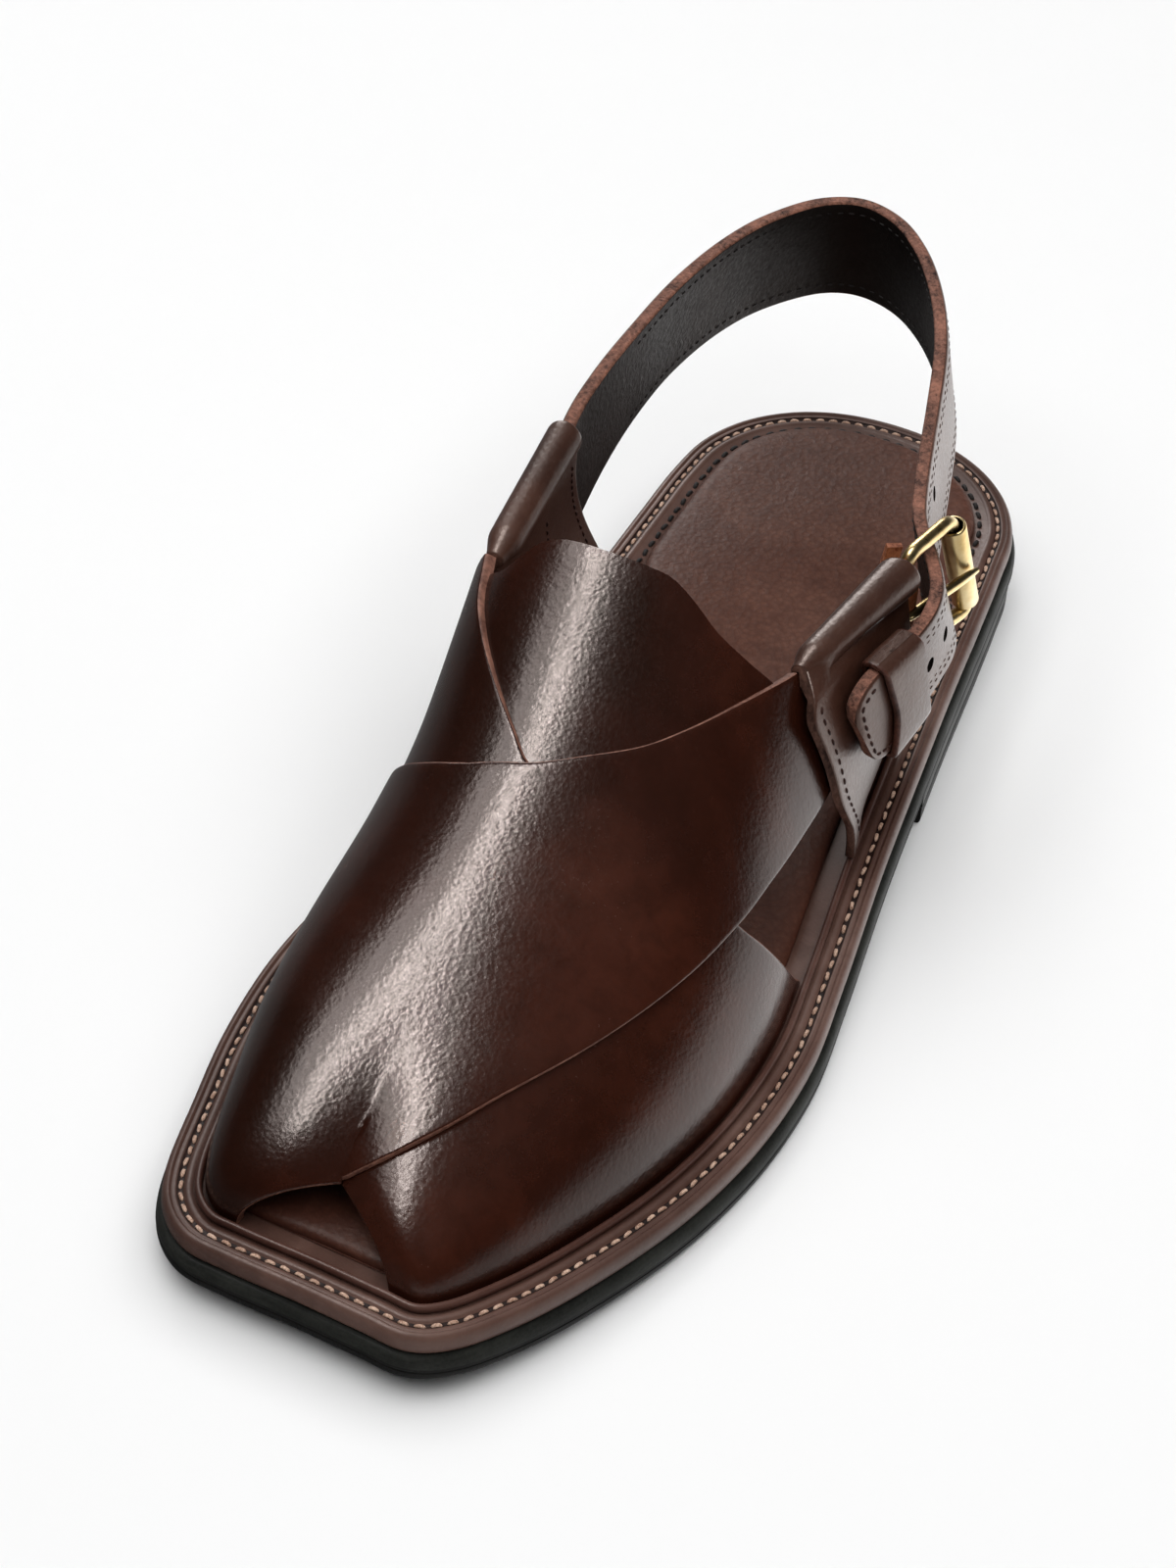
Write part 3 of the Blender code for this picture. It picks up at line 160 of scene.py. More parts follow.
# ---- heel strap: plan of its outer face at the top and bottom edge, height of its middle, half height ----
STRAP_THICKNESS = 3.2
STRAP_CLEARANCE = 0.32
SLOT_CLEARANCE = 0.5          # the strap twists inside its slot
STRAP_ROWS_TABLE = (
    (-45.0, 48.0, -43.0, 48.0, 61.2, 13.0),
    (-44.9, 62.0, -44.0, 62.0, 63.8, 13.0),
    (-43.9, 80.0, -44.7, 80.0, 65.2, 13.0),
    (-42.0, 100.0, -43.6, 100.0, 66.4, 13.0),
    (-38.0, 119.5, -39.4, 120.5, 67.0, 13.0),
    (-32.8, 133.6, -33.3, 135.2, 67.0, 13.0),
    (-23.9, 146.2, -22.8, 148.2, 67.0, 13.0),
    (-14.8, 150.3, -13.5, 151.6, 67.0, 13.0),
    (-4.8, 147.8, -3.0, 149.6, 66.5, 13.0),
    (4.5, 139.2, 7.2, 141.8, 66.0, 13.0),
    (13.1, 126.5, 17.0, 129.2, 64.6, 12.9),
    (20.1, 111.0, 24.6, 113.4, 62.8, 12.7),
    (25.6, 91.7, 30.3, 93.4, 60.0, 12.4),
    (28.0, 82.2, 32.7, 84.0, 58.6, 12.2),
    (31.9, 67.5, 36.5, 69.2, 56.7, 11.9),
    (34.4, 60.3, 38.8, 62.0, 55.5, 11.8),
    (37.4, 55.0, 42.4, 58.4, 55.0, 11.6),
    (40.4, 50.3, 45.9, 54.6, 54.9, 11.5),
    (43.2, 45.7, 47.9, 50.0, 54.8, 11.4),
    (45.7, 40.2, 48.8, 44.6, 54.7, 11.3),
    (47.0, 33.6, 48.8, 38.2, 54.5, 11.1),
    (46.7, 27.0, 48.6, 31.8, 54.1, 10.8),
    (45.2, 20.6, 48.3, 25.4, 53.6, 10.4),
    (43.3, 14.4, 47.8, 19.0, 53.0, 10.0),
    (42.0, 9.0, 47.1, 13.2, 52.4, 9.7),
    (41.5, 5.8, 46.5, 9.4, 52.0, 9.0),
    (41.3, 4.0, 45.9, 6.8, 51.9, 7.8),
    (41.2, 3.0, 45.3, 5.0, 51.9, 5.8),
    (41.2, 2.7, 44.6, 4.0, 52.0, 3.6),
)
SLOT_SHARES = (0.57, 0.69, 0.81)       # strap's stations inside the medial quarter
SLOT_MIDDLE = (54.8, 56.2, 57.8)
SLOT_HALF_HEIGHT = 13.0
# distance along the strap, share of its half height
STRAP_HOLES = ((282.0, -0.1), (273.5, 0.0), (233.8, 0.35))

# ---- keeper ----
KEEPER_FRONT_Y = 11.6
KEEPER_REAR_Y = 23.4
KEEPER_WALL = 1.6
KEEPER_BOW = 4.2              # the keeper's front edge runs this far forward at its foot

# ---- buckle ----
ROD_RADIUS = 1.6
NEAR_BAR = (36.4, 42.2)
FRAME_TOP_Z = 69.2
FRAME_BOTTOM_Z = 40.3
FAR_TOP = (40.3, 58.4)
FAR_BOTTOM = (44.6, 67.0)
FRAME_CORNER = 3.4
ROLLER_RADIUS = 2.95
ROLLER_BORE = 2.3
ROLLER_ENDS = (0.09, 0.93)
PRONG_RADIUS = 1.15
PRONG_Z = 55.2
CHAPE_THICKNESS = 1.3
CHAPE_LOW_Z = 43.0
CHAPE_HIGH_Z = 62.8
CHAPE_TAIL_X = 32.2           # middle of the tail, inside the lateral quarter
CHAPE_TAIL_Y = 30.5
CURVE_STEPS = 16              # steps of a smooth curve between two points of its table


def length_along(path):
    """Distance from a path's start at each of its points."""
    return np.r_[0.0, np.cumsum(np.linalg.norm(np.diff(path, axis=0), axis=1))]


def read_at(where, run, path):
    """A path's columns at given places of its run."""
    return np.stack([np.interp(where, run, path[:, k]) for k in range(path.shape[1])], axis=-1)


def unit(vectors):
    """One vector, or a row of them each, scaled to length 1."""
    size = np.linalg.norm(vectors, axis=-1 if np.ndim(vectors) > 1 else None)
    return vectors / np.expand_dims(size, -1)


def rearmost(line):
    return int(np.argmax(line[:, 1]))


def smooth_path(points, count, closed=False):
    """Catmull-Rom curve through points, resampled to count points evenly along its length."""
    pts = np.asarray(points, float)
    if closed:
        padded = np.vstack([pts[-1], pts, pts[0], pts[1]])
    else:
        padded = np.vstack([2 * pts[0] - pts[1], pts, 2 * pts[-1] - pts[-2]])
    dense = []
    for i in range(1, len(padded) - 2):
        a, b, c, d = padded[i - 1:i + 3]
        knots = [0.0]
        for p, q in ((a, b), (b, c), (c, d)):
            knots.append(knots[-1] + max(1e-6, math.sqrt(np.linalg.norm(q - p))))
        t0, t1, t2, t3 = knots
        for t in np.linspace(t1, t2, CURVE_STEPS + 1)[:-1]:
            ab = (a * (t1 - t) + b * (t - t0)) / (t1 - t0)
            bc = (b * (t2 - t) + c * (t - t1)) / (t2 - t1)
            cd = (c * (t3 - t) + d * (t - t2)) / (t3 - t2)
            left = (ab * (t2 - t) + bc * (t - t0)) / (t2 - t0)
            right = (bc * (t3 - t) + cd * (t - t1)) / (t3 - t1)
            dense.append((left * (t2 - t) + right * (t - t1)) / (t2 - t1))
    dense.append(padded[-2])
    path = np.array(dense)
    run = length_along(path)
    stops = np.linspace(0.0, run[-1], count + 1)[:-1] if closed else np.linspace(0.0, run[-1], count)
    return read_at(stops, run, path)


def crowd_bends(path, count):
    """Path resampled with more points where it turns, so that corners stay round."""
    leg = np.diff(path[:, :2], axis=0)
    turning = np.abs(np.gradient(np.unwrap(np.arctan2(leg[:, 1], leg[:, 0]))))
    run = np.r_[0.0, np.cumsum(np.linalg.norm(leg, axis=1) + BEND_WEIGHT * turning)]
    return read_at(np.linspace(0.0, run[-1], count), run, path)


def ease(value, start, end):
    """Smooth step from 0 at the start to 1 at the end."""
    t = np.clip((np.asarray(value, float) - start) / (end - start), 0.0, 1.0)
    return t * t * (3.0 - 2.0 * t)


def column_curve(rows, at):
    """Natural cubic through a table's columns at whole-number rows, read at fractional rows."""
    table = np.asarray(rows, float)
    n = len(table)
    system = np.eye(n)
    right = np.zeros_like(table)
    for i in range(1, n - 1):
        system[i, i - 1:i + 2] = (1.0, 4.0, 1.0)
        right[i] = 6.0 * (table[i - 1] - 2.0 * table[i] + table[i + 1])
    bend = np.linalg.solve(system, right)
    at = np.clip(np.asarray(at, float), 0.0, n - 1.0)
    i = np.minimum(at.astype(int), n - 2)
    t = (at - i)[..., None]
    u = 1.0 - t
    return (u * table[i] + t * table[i + 1]
            + ((u ** 3 - u) * bend[i] + (t ** 3 - t) * bend[i + 1]) / 6.0)


# ======== plan and side view of the sole ========

def welt_line():
    """Dense closed stitch line, from the middle of the toe round the lateral side and back."""
    lateral = [(row[2], row[0]) for row in WELT_STATIONS]
    medial = [(row[1], row[0]) for row in reversed(WELT_STATIONS)]
    heel = []
    for k in range(HEEL_POINTS):
        turn = math.pi * k / (HEEL_POINTS - 1)
        c, s = math.cos(turn), math.sin(turn)
        power = 2.0 / HEEL_SQUARENESS
        heel.append((HEEL_HALF_WIDTH * math.copysign(abs(c) ** power, c),
                     HEEL_START_Y + (HEEL_END_Y - HEEL_START_Y) * s ** power))
    middle = len(TOE_LINE) // 2
    points = list(TOE_LINE[middle:]) + lateral + heel + medial + list(TOE_LINE[:middle])
    return smooth_path(points, WELT_POINTS, closed=True)


def normals_of(loop):
    ahead = unit(np.roll(loop, -1, axis=0) - np.roll(loop, 1, axis=0))
    return np.stack([ahead[:, 1], -ahead[:, 0]], axis=1)


WELT_POINTS = 720
WELT = welt_line()
WELT_NORMALS = normals_of(WELT)


def half_outline(line):
    """A half outline from toe to heel, whose points along the side stand at the shared side stations."""
    start = int(np.argmax(line[:, 1] > SIDE_STATIONS[0]))
    end = len(line) - int(np.argmax(line[::-1, 1] < SIDE_STATIONS[-1]))
    side_x = np.interp(SIDE_STATIONS, line[start - 1:end + 1, 1], line[start - 1:end + 1, 0])
    side = np.column_stack([side_x, SIDE_STATIONS])
    toe = crowd_bends(np.vstack([line[:start], side[:1]]), TOE_POINTS)
    heel = crowd_bends(np.vstack([side[-1:], line[end:]]), HEEL_END_POINTS)
    return np.vstack([toe[:-1], side, heel[1:]])


def halves(loop):
    """Medial and lateral half of a closed line, both from the middle of the toe to the heel."""
    back = rearmost(WELT)
    return np.vstack([loop[:1], loop[:back - 1:-1]]), loop[:back + 1]


def sole_outline(offset):
    """Closed outline at one or many offsets from the stitch line, paired: point i lies opposite point -i."""
    shift = np.broadcast_to(np.asarray(offset, float), len(WELT))
    medial, lateral = [half_outline(half) for half in halves(WELT + WELT_NORMALS * shift[:, None])]
    return np.vstack([lateral[:-1], medial[:0:-1]])


def tread_height(y):
    """Height of the sole's underside over the ground: toe spring, flat tread, rise to the heel."""
    y = np.asarray(y, float)
    spring = np.clip((TREAD_FLAT_FRONT - y) / TOE_SPRING_RUN, 0.0, None)
    return TOE_SPRING * spring ** 2 + HEEL_RISE * ease(y, ARCH_START, ARCH_END)


def on_sole(outline, height):
    """Outline in plan lifted to a height over the sole's underside."""
    return np.column_stack([outline, tread_height(outline[:, 1]) + height])


# ======== the last ========

# the last's edge on the sole, from the middle of the toe
FEATHER_MEDIAL, FEATHER_LATERAL = halves(WELT + WELT_NORMALS * FEATHER_OFFSET)
LEVEL_TURN = 12.0             # up to this turn a lift grows from level to square on the last


def feather_point(line, run):
    plan = read_at(run, length_along(line), line)
    return np.concatenate([plan, (tread_height(plan[..., 1]) + FLOOR_HEIGHT + GAP)[..., None]], axis=-1)


def last_surface(section, turn):
    """Point of the last: section number and turn in degrees, 0 medial foot to 180 lateral foot."""
    section, turn = np.broadcast_arrays(np.asarray(section, float), np.asarray(turn, float))
    row = column_curve(LAST_SECTIONS, section)
    ridge = row[..., 2:5]
    medial = turn <= 90.0
    feet = feather_point(FEATHER_MEDIAL, row[..., 0]), feather_point(FEATHER_LATERAL, row[..., 1])
    foot = np.where(medial[..., None], *feet)
    square = np.where(medial, row[..., 5], row[..., 6])
    bulge = np.where(medial, row[..., 7], row[..., 8])
    angle = np.radians(np.where(medial, turn, 180.0 - turn))
    rise = np.sin(angle) ** (2.0 / square)
    spread = np.cos(angle).clip(0.0, 1.0) ** (2.0 / square)
    plan = ridge[..., :2] + (foot[..., :2] - ridge[..., :2]) * spread[..., None]
    # both sides leave the ridge in one direction, so that no crease shows along it behind the toe
    leads = [(side[..., 1] - ridge[..., 1]) / (side[..., 0] - ridge[..., 0]) for side in feet]
    own = np.where(medial, *leads)
    plan[..., 1] += ((0.5 * (leads[0] + leads[1]) - own) * (foot[..., 0] - ridge[..., 0])
                     * spread * (1.0 - spread) ** 2 * ease(section, 0.3, 2.4))
    side = np.where(medial, -1.0, 1.0) * bulge * np.sin(2.0 * angle)
    height = foot[..., 2] + (ridge[..., 2] - foot[..., 2]) * rise
    return np.stack([plan[..., 0] + side, plan[..., 1], height], axis=-1)


def last_normal(section, turn):
    step_s, step_t = 0.04, 1.0
    low_s, high_s = (np.clip(section + step, 0.0, REAR_SECTION) for step in (-step_s, step_s))
    low_t, high_t = (np.clip(turn + step, 0.0, 180.0) for step in (-step_t, step_t))
    along = last_surface(high_s, turn) - last_surface(low_s, turn)
    around = last_surface(section, high_t) - last_surface(section, low_t)
    normal = np.cross(along, around)
    return -normal / np.linalg.norm(normal, axis=-1)[..., None]


def on_last(section, turn, lift):
    """Point a given distance outside the last; at the sole the lift stays level with it."""
    section, turn = np.broadcast_arrays(np.asarray(section, float), np.asarray(turn, float))
    base = last_surface(section, turn)
    lifted = base + last_normal(section, turn) * np.broadcast_to(lift, section.shape)[..., None]
    at_sole = np.minimum(np.sin(np.radians(turn)) / math.sin(math.radians(LEVEL_TURN)), 1.0)
    lifted[..., 2] = base[..., 2] + (lifted[..., 2] - base[..., 2]) * at_sole
    return lifted


# ======== materials ========

def linear(rgb):
    """sRGB 0-255 to linear."""
    values = np.array(rgb, float) / 255.0
    return tuple(np.where(values <= 0.04045, values / 12.92, ((values + 0.055) / 1.055) ** 2.4))


class Looks:
    """One material. Each method adds a node, which works in object coordinates, and returns its output."""

    def __init__(self, name, **fixed):
        self.mat = bpy.data.materials.new(name)
        self.mat.use_nodes = True
        self.tree = self.mat.node_tree
        self.shader = self.tree.nodes["Principled BSDF"]
        for socket, value in fixed.items():
            self.shader.inputs[socket.replace("_", " ")].default_value = value
        self.place = self.tree.nodes.new("ShaderNodeTexCoord").outputs["Object"]

    def link(self, value, socket):
        if isinstance(value, bpy.types.NodeSocket):
            self.tree.links.new(value, socket)
        else:
            socket.default_value = value

    def node(self, kind, output, settings=(), **sockets):
        node = self.tree.nodes.new("ShaderNode" + kind)
        for name, value in dict(settings).items():
            setattr(node, name, value)
        for name, value in sockets.items():
            self.link(value, node.inputs[name])
        return node.outputs[output]

    def stretch(self, scale):
        return self.node("Mapping", "Vector", Vector=self.place, Scale=scale)

    def noise(self, scale, detail=2.0, rough=0.5, twist=0.0, vector=None):
        return self.node("TexNoise", "Fac", Vector=vector or self.place, Scale=scale, Detail=detail,
                         Roughness=rough, Distortion=twist)

    def cells(self, scale):
        return self.node("TexVoronoi", "Distance", Vector=self.place, Scale=scale)

    def ramp(self, value, *stops):
        """Stops are (place, value) or (place, linear colour)."""
        node = self.tree.nodes.new("ShaderNodeValToRGB")
        bar = node.color_ramp
        while len(bar.elements) < len(stops):
            bar.elements.new(0.5)
        for element, (at, shade) in zip(bar.elements, stops):
            element.position = at
            element.color = (*np.broadcast_to(shade, 3), 1.0)
        self.tree.links.new(value, node.inputs["Fac"])
        return node.outputs["Color"]

    def mix(self, share, a, b, how="MIX"):
        node = self.tree.nodes.new("ShaderNodeMix")
        node.data_type = "RGBA"
        node.blend_type = how
        self.link(share, node.inputs[0])
        for value, socket in ((a, node.inputs[6]), (b, node.inputs[7])):
            self.link(value if isinstance(value, bpy.types.NodeSocket) else (*value, 1.0), socket)
        return node.outputs[2]

    def sum(self, *terms):
        """Weighted sum of (value, weight) pairs."""
        total = 0.0
        for value, weight in terms:
            node = self.tree.nodes.new("ShaderNodeMath")
            node.operation = "MULTIPLY_ADD"
            for term, socket in zip((value, weight, total), node.inputs):
                self.link(term, socket)
            total = node.outputs[0]
        return total

    def finish(self, colour, roughness, height=None, depth=0.0):
        """Joins the shader; height is relief, depth metres deep."""
        self.link(colour, self.shader.inputs["Base Color"])
        self.link(roughness, self.shader.inputs["Roughness"])
        if height is not None:
            relief = self.node("Bump", "Normal", Strength=1.0, Distance=depth, Height=height)
            self.link(relief, self.shader.inputs["Normal"])
        return self.mat


def leather_look(name, deep, warm, pale, rough=(0.34, 0.44), grain=0.00003, worn=0.0, pores=1500.0,
                 wrinkle=0.0, fleck=0.2, level=0.5, clouds=16.0, painted_pebble_shade=0.0, sheen=(1.0, 0.88, 0.83)):
    """Waxed leather: colour that drifts in clouds, pebbled grain, shallow wrinkles and rubbed edges; the
    pebble shade, where given, is painted shade in the grain's hollows.
    """
    look = Looks(name, Specular_IOR_Level=level, Specular_Tint=(*sheen, 1.0))
    deep, warm, pale = map(linear, (deep, warm, pale))
    colour = look.ramp(look.noise(clouds, 4.0, 0.55, 0.5), (0.30, deep), (0.50, warm), (0.74, pale))
    mottle = look.noise(170.0, 5.0, 0.68, 0.4)
    colour = look.mix(look.ramp(mottle, (0.40, 0.0), (0.72, 0.45)), colour, deep)
    speck = look.noise(1300.0, 3.0, 0.6)
    colour = look.mix(look.ramp(speck, (0.56, 0.0), (0.80, fleck)), colour, pale)
    if worn:
        rubbed = look.ramp(look.noise(120.0, 6.0, 0.7, 0.8), (0.42, 0.0), (0.70, worn))
        edge = look.ramp(look.node("Attribute", "Fac", {"attribute_name": "edge"}), (0.3, 0.0), (1.0, 1.0))
        colour = look.mix(look.mix(1.0, edge, rubbed, "MULTIPLY"), colour, pale)
    pebbles = look.cells(pores)
    # painted shade: the borders between pebbles are darkened, standing in for the shade of the grain's relief
    if painted_pebble_shade:
        colour = look.mix(look.ramp(pebbles, (0.25, 0.0), (0.7, painted_pebble_shade)), colour, deep)
    fine = look.noise(pores * 1.3, 3.0, 0.6, 0.5)
    relief = [(pebbles, 0.5), (look.cells(pores * 0.55), 0.4), (fine, 0.6)]
    if wrinkle:
        relief.append((look.noise(300.0, 5.0, 0.6, 1.2), wrinkle))
    shine = look.sum((look.ramp(fine, (0.3, rough[0]), (0.7, rough[1])), 1.0),
                     (look.ramp(look.noise(48.0, 5.0, 0.62), (0.35, -0.04), (0.75, 0.05)), 1.0))
    return look.finish(colour, shine, look.sum(*relief), grain)


def edge_look(name, dark, light, rough=0.62, fibres=900.0, grain=0.00009):
    """Raw or burnished cut edge: fibres, and patches rubbed paler."""
    look = Looks(name, Specular_IOR_Level=0.35)
    fibre_run = look.noise(fibres, 4.0, 0.7, 0.4)
    colour = look.ramp(look.sum((fibre_run, 0.55), (look.noise(140.0, 3.0, 0.6), 0.45)),
                       (0.36, linear(dark)), (0.64, linear(light)))
    shine = look.ramp(fibre_run, (0.3, rough + 0.1), (0.7, rough - 0.08))
    return look.finish(colour, shine, fibre_run, grain)


def rubber_look(name, dark, light, rough):
    """Matt black rubber with clouds, specks and scratches along the ground."""
    look = Looks(name, Specular_IOR_Level=0.1)
    speck = look.noise(1600.0, 2.0, 0.5)
    scratch = look.noise(500.0, 3.0, 0.6, 0.0, look.stretch((0.25, 0.25, 3.0)))
    colour = look.ramp(look.sum((look.noise(60.0, 4.0, 0.6), 0.5), (speck, 0.2), (scratch, 0.3)),
                       (0.34, linear(dark)), (0.66, linear(light)))
    return look.finish(colour, look.ramp(scratch, (0.3, rough - 0.06), (0.7, rough + 0.1)),
                       look.sum((speck, 0.5), (scratch, 0.5)), 0.00012)


def thread_look(name, dark, light):
    look = Looks(name, Specular_IOR_Level=0.35)
    twist = look.noise(2600.0, 2.0, 0.6)
    colour = look.ramp(look.sum((twist, 0.6), (look.noise(240.0), 0.4)),
                       (0.36, linear(dark)), (0.64, linear(light)))
    return look.finish(colour, look.ramp(twist, (0.3, 0.6), (0.7, 0.8)), twist, 0.0001)


def brass_look(name, deep, warm, pale):
    look = Looks(name, Metallic=1.0)
    fine = look.noise(900.0, 3.0, 0.6, 0.0, look.stretch((1.0, 1.0, 0.15)))
    colour = look.ramp(look.noise(150.0, 4.0, 0.6),
                       (0.3, linear(deep)), (0.55, linear(warm)), (0.8, linear(pale)))
    return look.finish(colour, look.ramp(fine, (0.3, 0.26), (0.7, 0.38)), fine, 0.00003)


def paper_look(name, shade, roughness, spread):
    look = Looks(name, Specular_IOR_Level=0.2)
    cloud = look.noise(6.0, 3.0, 0.5)
    colour = look.ramp(cloud, (0.3, shade * (1.0 - spread)), (0.7, shade))
    return look.finish(colour, look.ramp(cloud, (0.3, roughness), (0.7, roughness + 0.05)))


upper_leather = leather_look("oiled_leather", (29, 11, 5), (44, 18, 10), (70, 33, 21), rough=(0.17, 0.25),
                             grain=0.00005, worn=0.4, pores=1050.0, wrinkle=0.15)
# the leather's own colour, made paler as painted sheen: it stands in for the floor's reflection on the
# quarters, heel strap and keeper
quarter_leather_painted_sheen = leather_look("quarter_leather_painted_sheen", (46, 25, 18), (70, 43, 33), (106, 78, 67), rough=(0.3, 0.4),
                               grain=0.00008, pores=1000.0, wrinkle=0.3, level=0.85, sheen=(1.0, 0.84, 0.76))
lining_leather = leather_look("black_lining", (13, 9, 8), (23, 18, 16), (44, 36, 33), rough=(0.46, 0.62),
                              grain=0.0001, pores=900.0, wrinkle=1.4, level=0.28)
raw_edge = edge_look("raw_edge", (70, 36, 26), (150, 104, 86))
wall_edge = edge_look("wall_edge", (58, 34, 26), (126, 90, 76), 0.6)
strap_edge = edge_look("strap_edge", (40, 20, 14), (156, 104, 84), 0.8, 1000.0, 0.0003)
burnished_edge = edge_look("burnished_edge", (46, 22, 15), (92, 56, 45), 0.42)
welt_leather = leather_look("welt_leather", (60, 38, 31), (92, 65, 56), (124, 97, 87), rough=(0.38, 0.52),
                            pores=1200.0, wrinkle=0.6)
# painted shade: near-black leather for the welt's stitch channel
welt_groove_painted_shade = edge_look("welt_groove_painted_shade", (20, 10, 8), (46, 28, 23))
rand_leather = leather_look("rand_leather", (54, 29, 22), (78, 47, 38), (118, 88, 78), rough=(0.34, 0.46),
                            wrinkle=0.6)
# the insole's grain carries painted shade in its hollows
insole_leather = leather_look("insole_leather", (60, 31, 23), (92, 56, 43), (120, 82, 67), rough=(0.42, 0.54),
                              grain=0.00015, pores=700.0, wrinkle=0.8, fleck=0.3, level=0.22, clouds=11.0,
                              painted_pebble_shade=0.35)
fibre = edge_look("chape_fibre", (120, 58, 30), (206, 128, 84), 0.8, 700.0, 0.0003)
fibre_edge = edge_look("chape_edge", (96, 48, 28), (170, 104, 70), 0.8, 900.0, 0.0003)
rubber = rubber_look("sole_rubber", (16, 16, 15), (36, 35, 34), 0.62)
# painted light: a paler rubber for the upward-facing bevel of the outsole and the heel's top edge, standing
# in for the light they catch
rubber_bevel_painted_light = rubber_look("sole_rubber_edge", (22, 23, 21), (50, 51, 47), 0.55)
tan_thread = thread_look("tan_thread", (150, 112, 92), (222, 190, 168))
dark_thread = thread_look("dark_thread", (30, 13, 9), (62, 34, 27))
worn_thread = thread_look("worn_thread", (52, 36, 30), (104, 84, 76))
black_thread = thread_look("black_thread", (14, 12, 12), (44, 38, 36))
brass = brass_look("brass", (214, 184, 124), (238, 214, 162), (250, 236, 200))
# painted shade: darker brass for the inside of the roller's bore
brass_painted_shade = brass_look("brass_painted_shade", (40, 30, 16), (62, 48, 26), (84, 66, 38))
# materials of a piece: outer face, inner face, cut edge
UPPER_MATS = [upper_leather, lining_leather, raw_edge]
WALL_MATS = [quarter_leather_painted_sheen, lining_leather, wall_edge]
STRAP_MATS = [quarter_leather_painted_sheen, lining_leather, strap_edge]
RUBBER_MATS = [rubber, rubber_bevel_painted_light]
CHAPE_MATS = [fibre, fibre_edge]


# ======== meshes ========

def add_piece(name, points, faces, mats, index=None, sharp=40.0, stands_for=(), slot=None, values=None):
    """One piece of the shoe, riding on the frame; index is a material number for each face."""
    mesh = bpy.data.meshes.new(name)
    mesh.from_pydata([tuple(p) for p in (np.asarray(points, float) + SHIFT) * MM], [], faces)
    for mat in mats:
        mesh.materials.append(mat)
    if index is not None:
        mesh.polygons.foreach_set("material_index", np.asarray(index, np.int32))
    if values is not None:
        attribute = mesh.attributes.new("edge", "FLOAT", "POINT")
        attribute.data.foreach_set("value", np.asarray(values, np.float32))
    work = bmesh.new()
    work.from_mesh(mesh)
    bmesh.ops.remove_doubles(work, verts=work.verts, dist=1e-6)
    bmesh.ops.recalc_face_normals(work, faces=work.faces)
    work.to_mesh(mesh)
    work.free()
    obj = bpy.data.objects.new(name, mesh)
    bpy.context.scene.collection.objects.link(obj)
    soften(obj, sharp)
    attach(obj, "root")
    if stands_for:
        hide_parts(*stands_for)
    return obj


def soften(obj, sharp=40.0):
    obj.data.shade_smooth()
    obj.data.set_sharp_from_angle(angle=math.radians(sharp))


def cut(obj, tool):
    """Takes the tool's volume out of the piece; the cut takes the tool's material number."""
    modifier = obj.modifiers.new("cut", "BOOLEAN")
    modifier.operation = "DIFFERENCE"
    modifier.solver = "EXACT"
    modifier.object = tool
    graph = bpy.context.evaluated_depsgraph_get()
    mesh = bpy.data.meshes.new_from_object(obj.evaluated_get(graph))
    obj.modifiers.clear()
    obj.data = mesh
    bpy.data.objects.remove(tool, do_unlink=True)
    soften(obj)
    return obj


def circle_turns(sides):
    return np.linspace(0.0, 2.0 * math.pi, sides + 1)[:-1]


def ring_faces(rings, count):
    """Quads between successive closed rings of count points."""
    return [(first + i, first + (i + 1) % count, first + count + (i + 1) % count, first + count + i)
            for first in range(0, (rings - 1) * count, count) for i in range(count)]


def loft(name, rings, mats, along=(0,), around=(0,), ends=0, closed=False, **options):
    """Solid through closed rings; along and around give material numbers by step and by side."""
    count, total = len(rings[0]), len(rings)
    faces = ring_faces(total, count)
    index = list(np.broadcast_to(np.maximum.outer(along, around), (total - 1, count)).ravel())
    last = (total - 1) * count
    if closed:
        faces += [(last + i, last + (i + 1) % count, (i + 1) % count, i) for i in range(count)]
        index += list(np.broadcast_to(around, count))
    else:
        faces += [tuple(range(count)), tuple(range(last, last + count))]
        index += [ends, ends]
    return add_piece(name, np.vstack(rings), faces, mats, index, **options)


def rim_cap(first):
    """Cap of an outline whose point i lies opposite point -i, as strips across the shoe."""
    faces = []
    for i in range(RIM_COUNT // 2):
        corners = (i, i + 1, (RIM_COUNT - i - 1) % RIM_COUNT, (RIM_COUNT - i) % RIM_COUNT)
        faces.append(tuple(first + k for k in dict.fromkeys(corners)))
    return faces


def sole_piece(name, profile, mats, bands, **options):
    """Layer of the sole, through a profile of (offset, height over the underside) rows."""
    rings = [on_sole(sole_outline(offset), height) for offset, height in profile]
    faces = ring_faces(len(rings), RIM_COUNT)
    index = list(np.repeat(bands, RIM_COUNT))
    for first, band in ((0, bands[0]), ((len(rings) - 1) * RIM_COUNT, bands[-1])):
        cap = rim_cap(first)
        faces += cap
        index += [band] * len(cap)
    return add_piece(name, np.vstack(rings), faces, mats, index, **options)


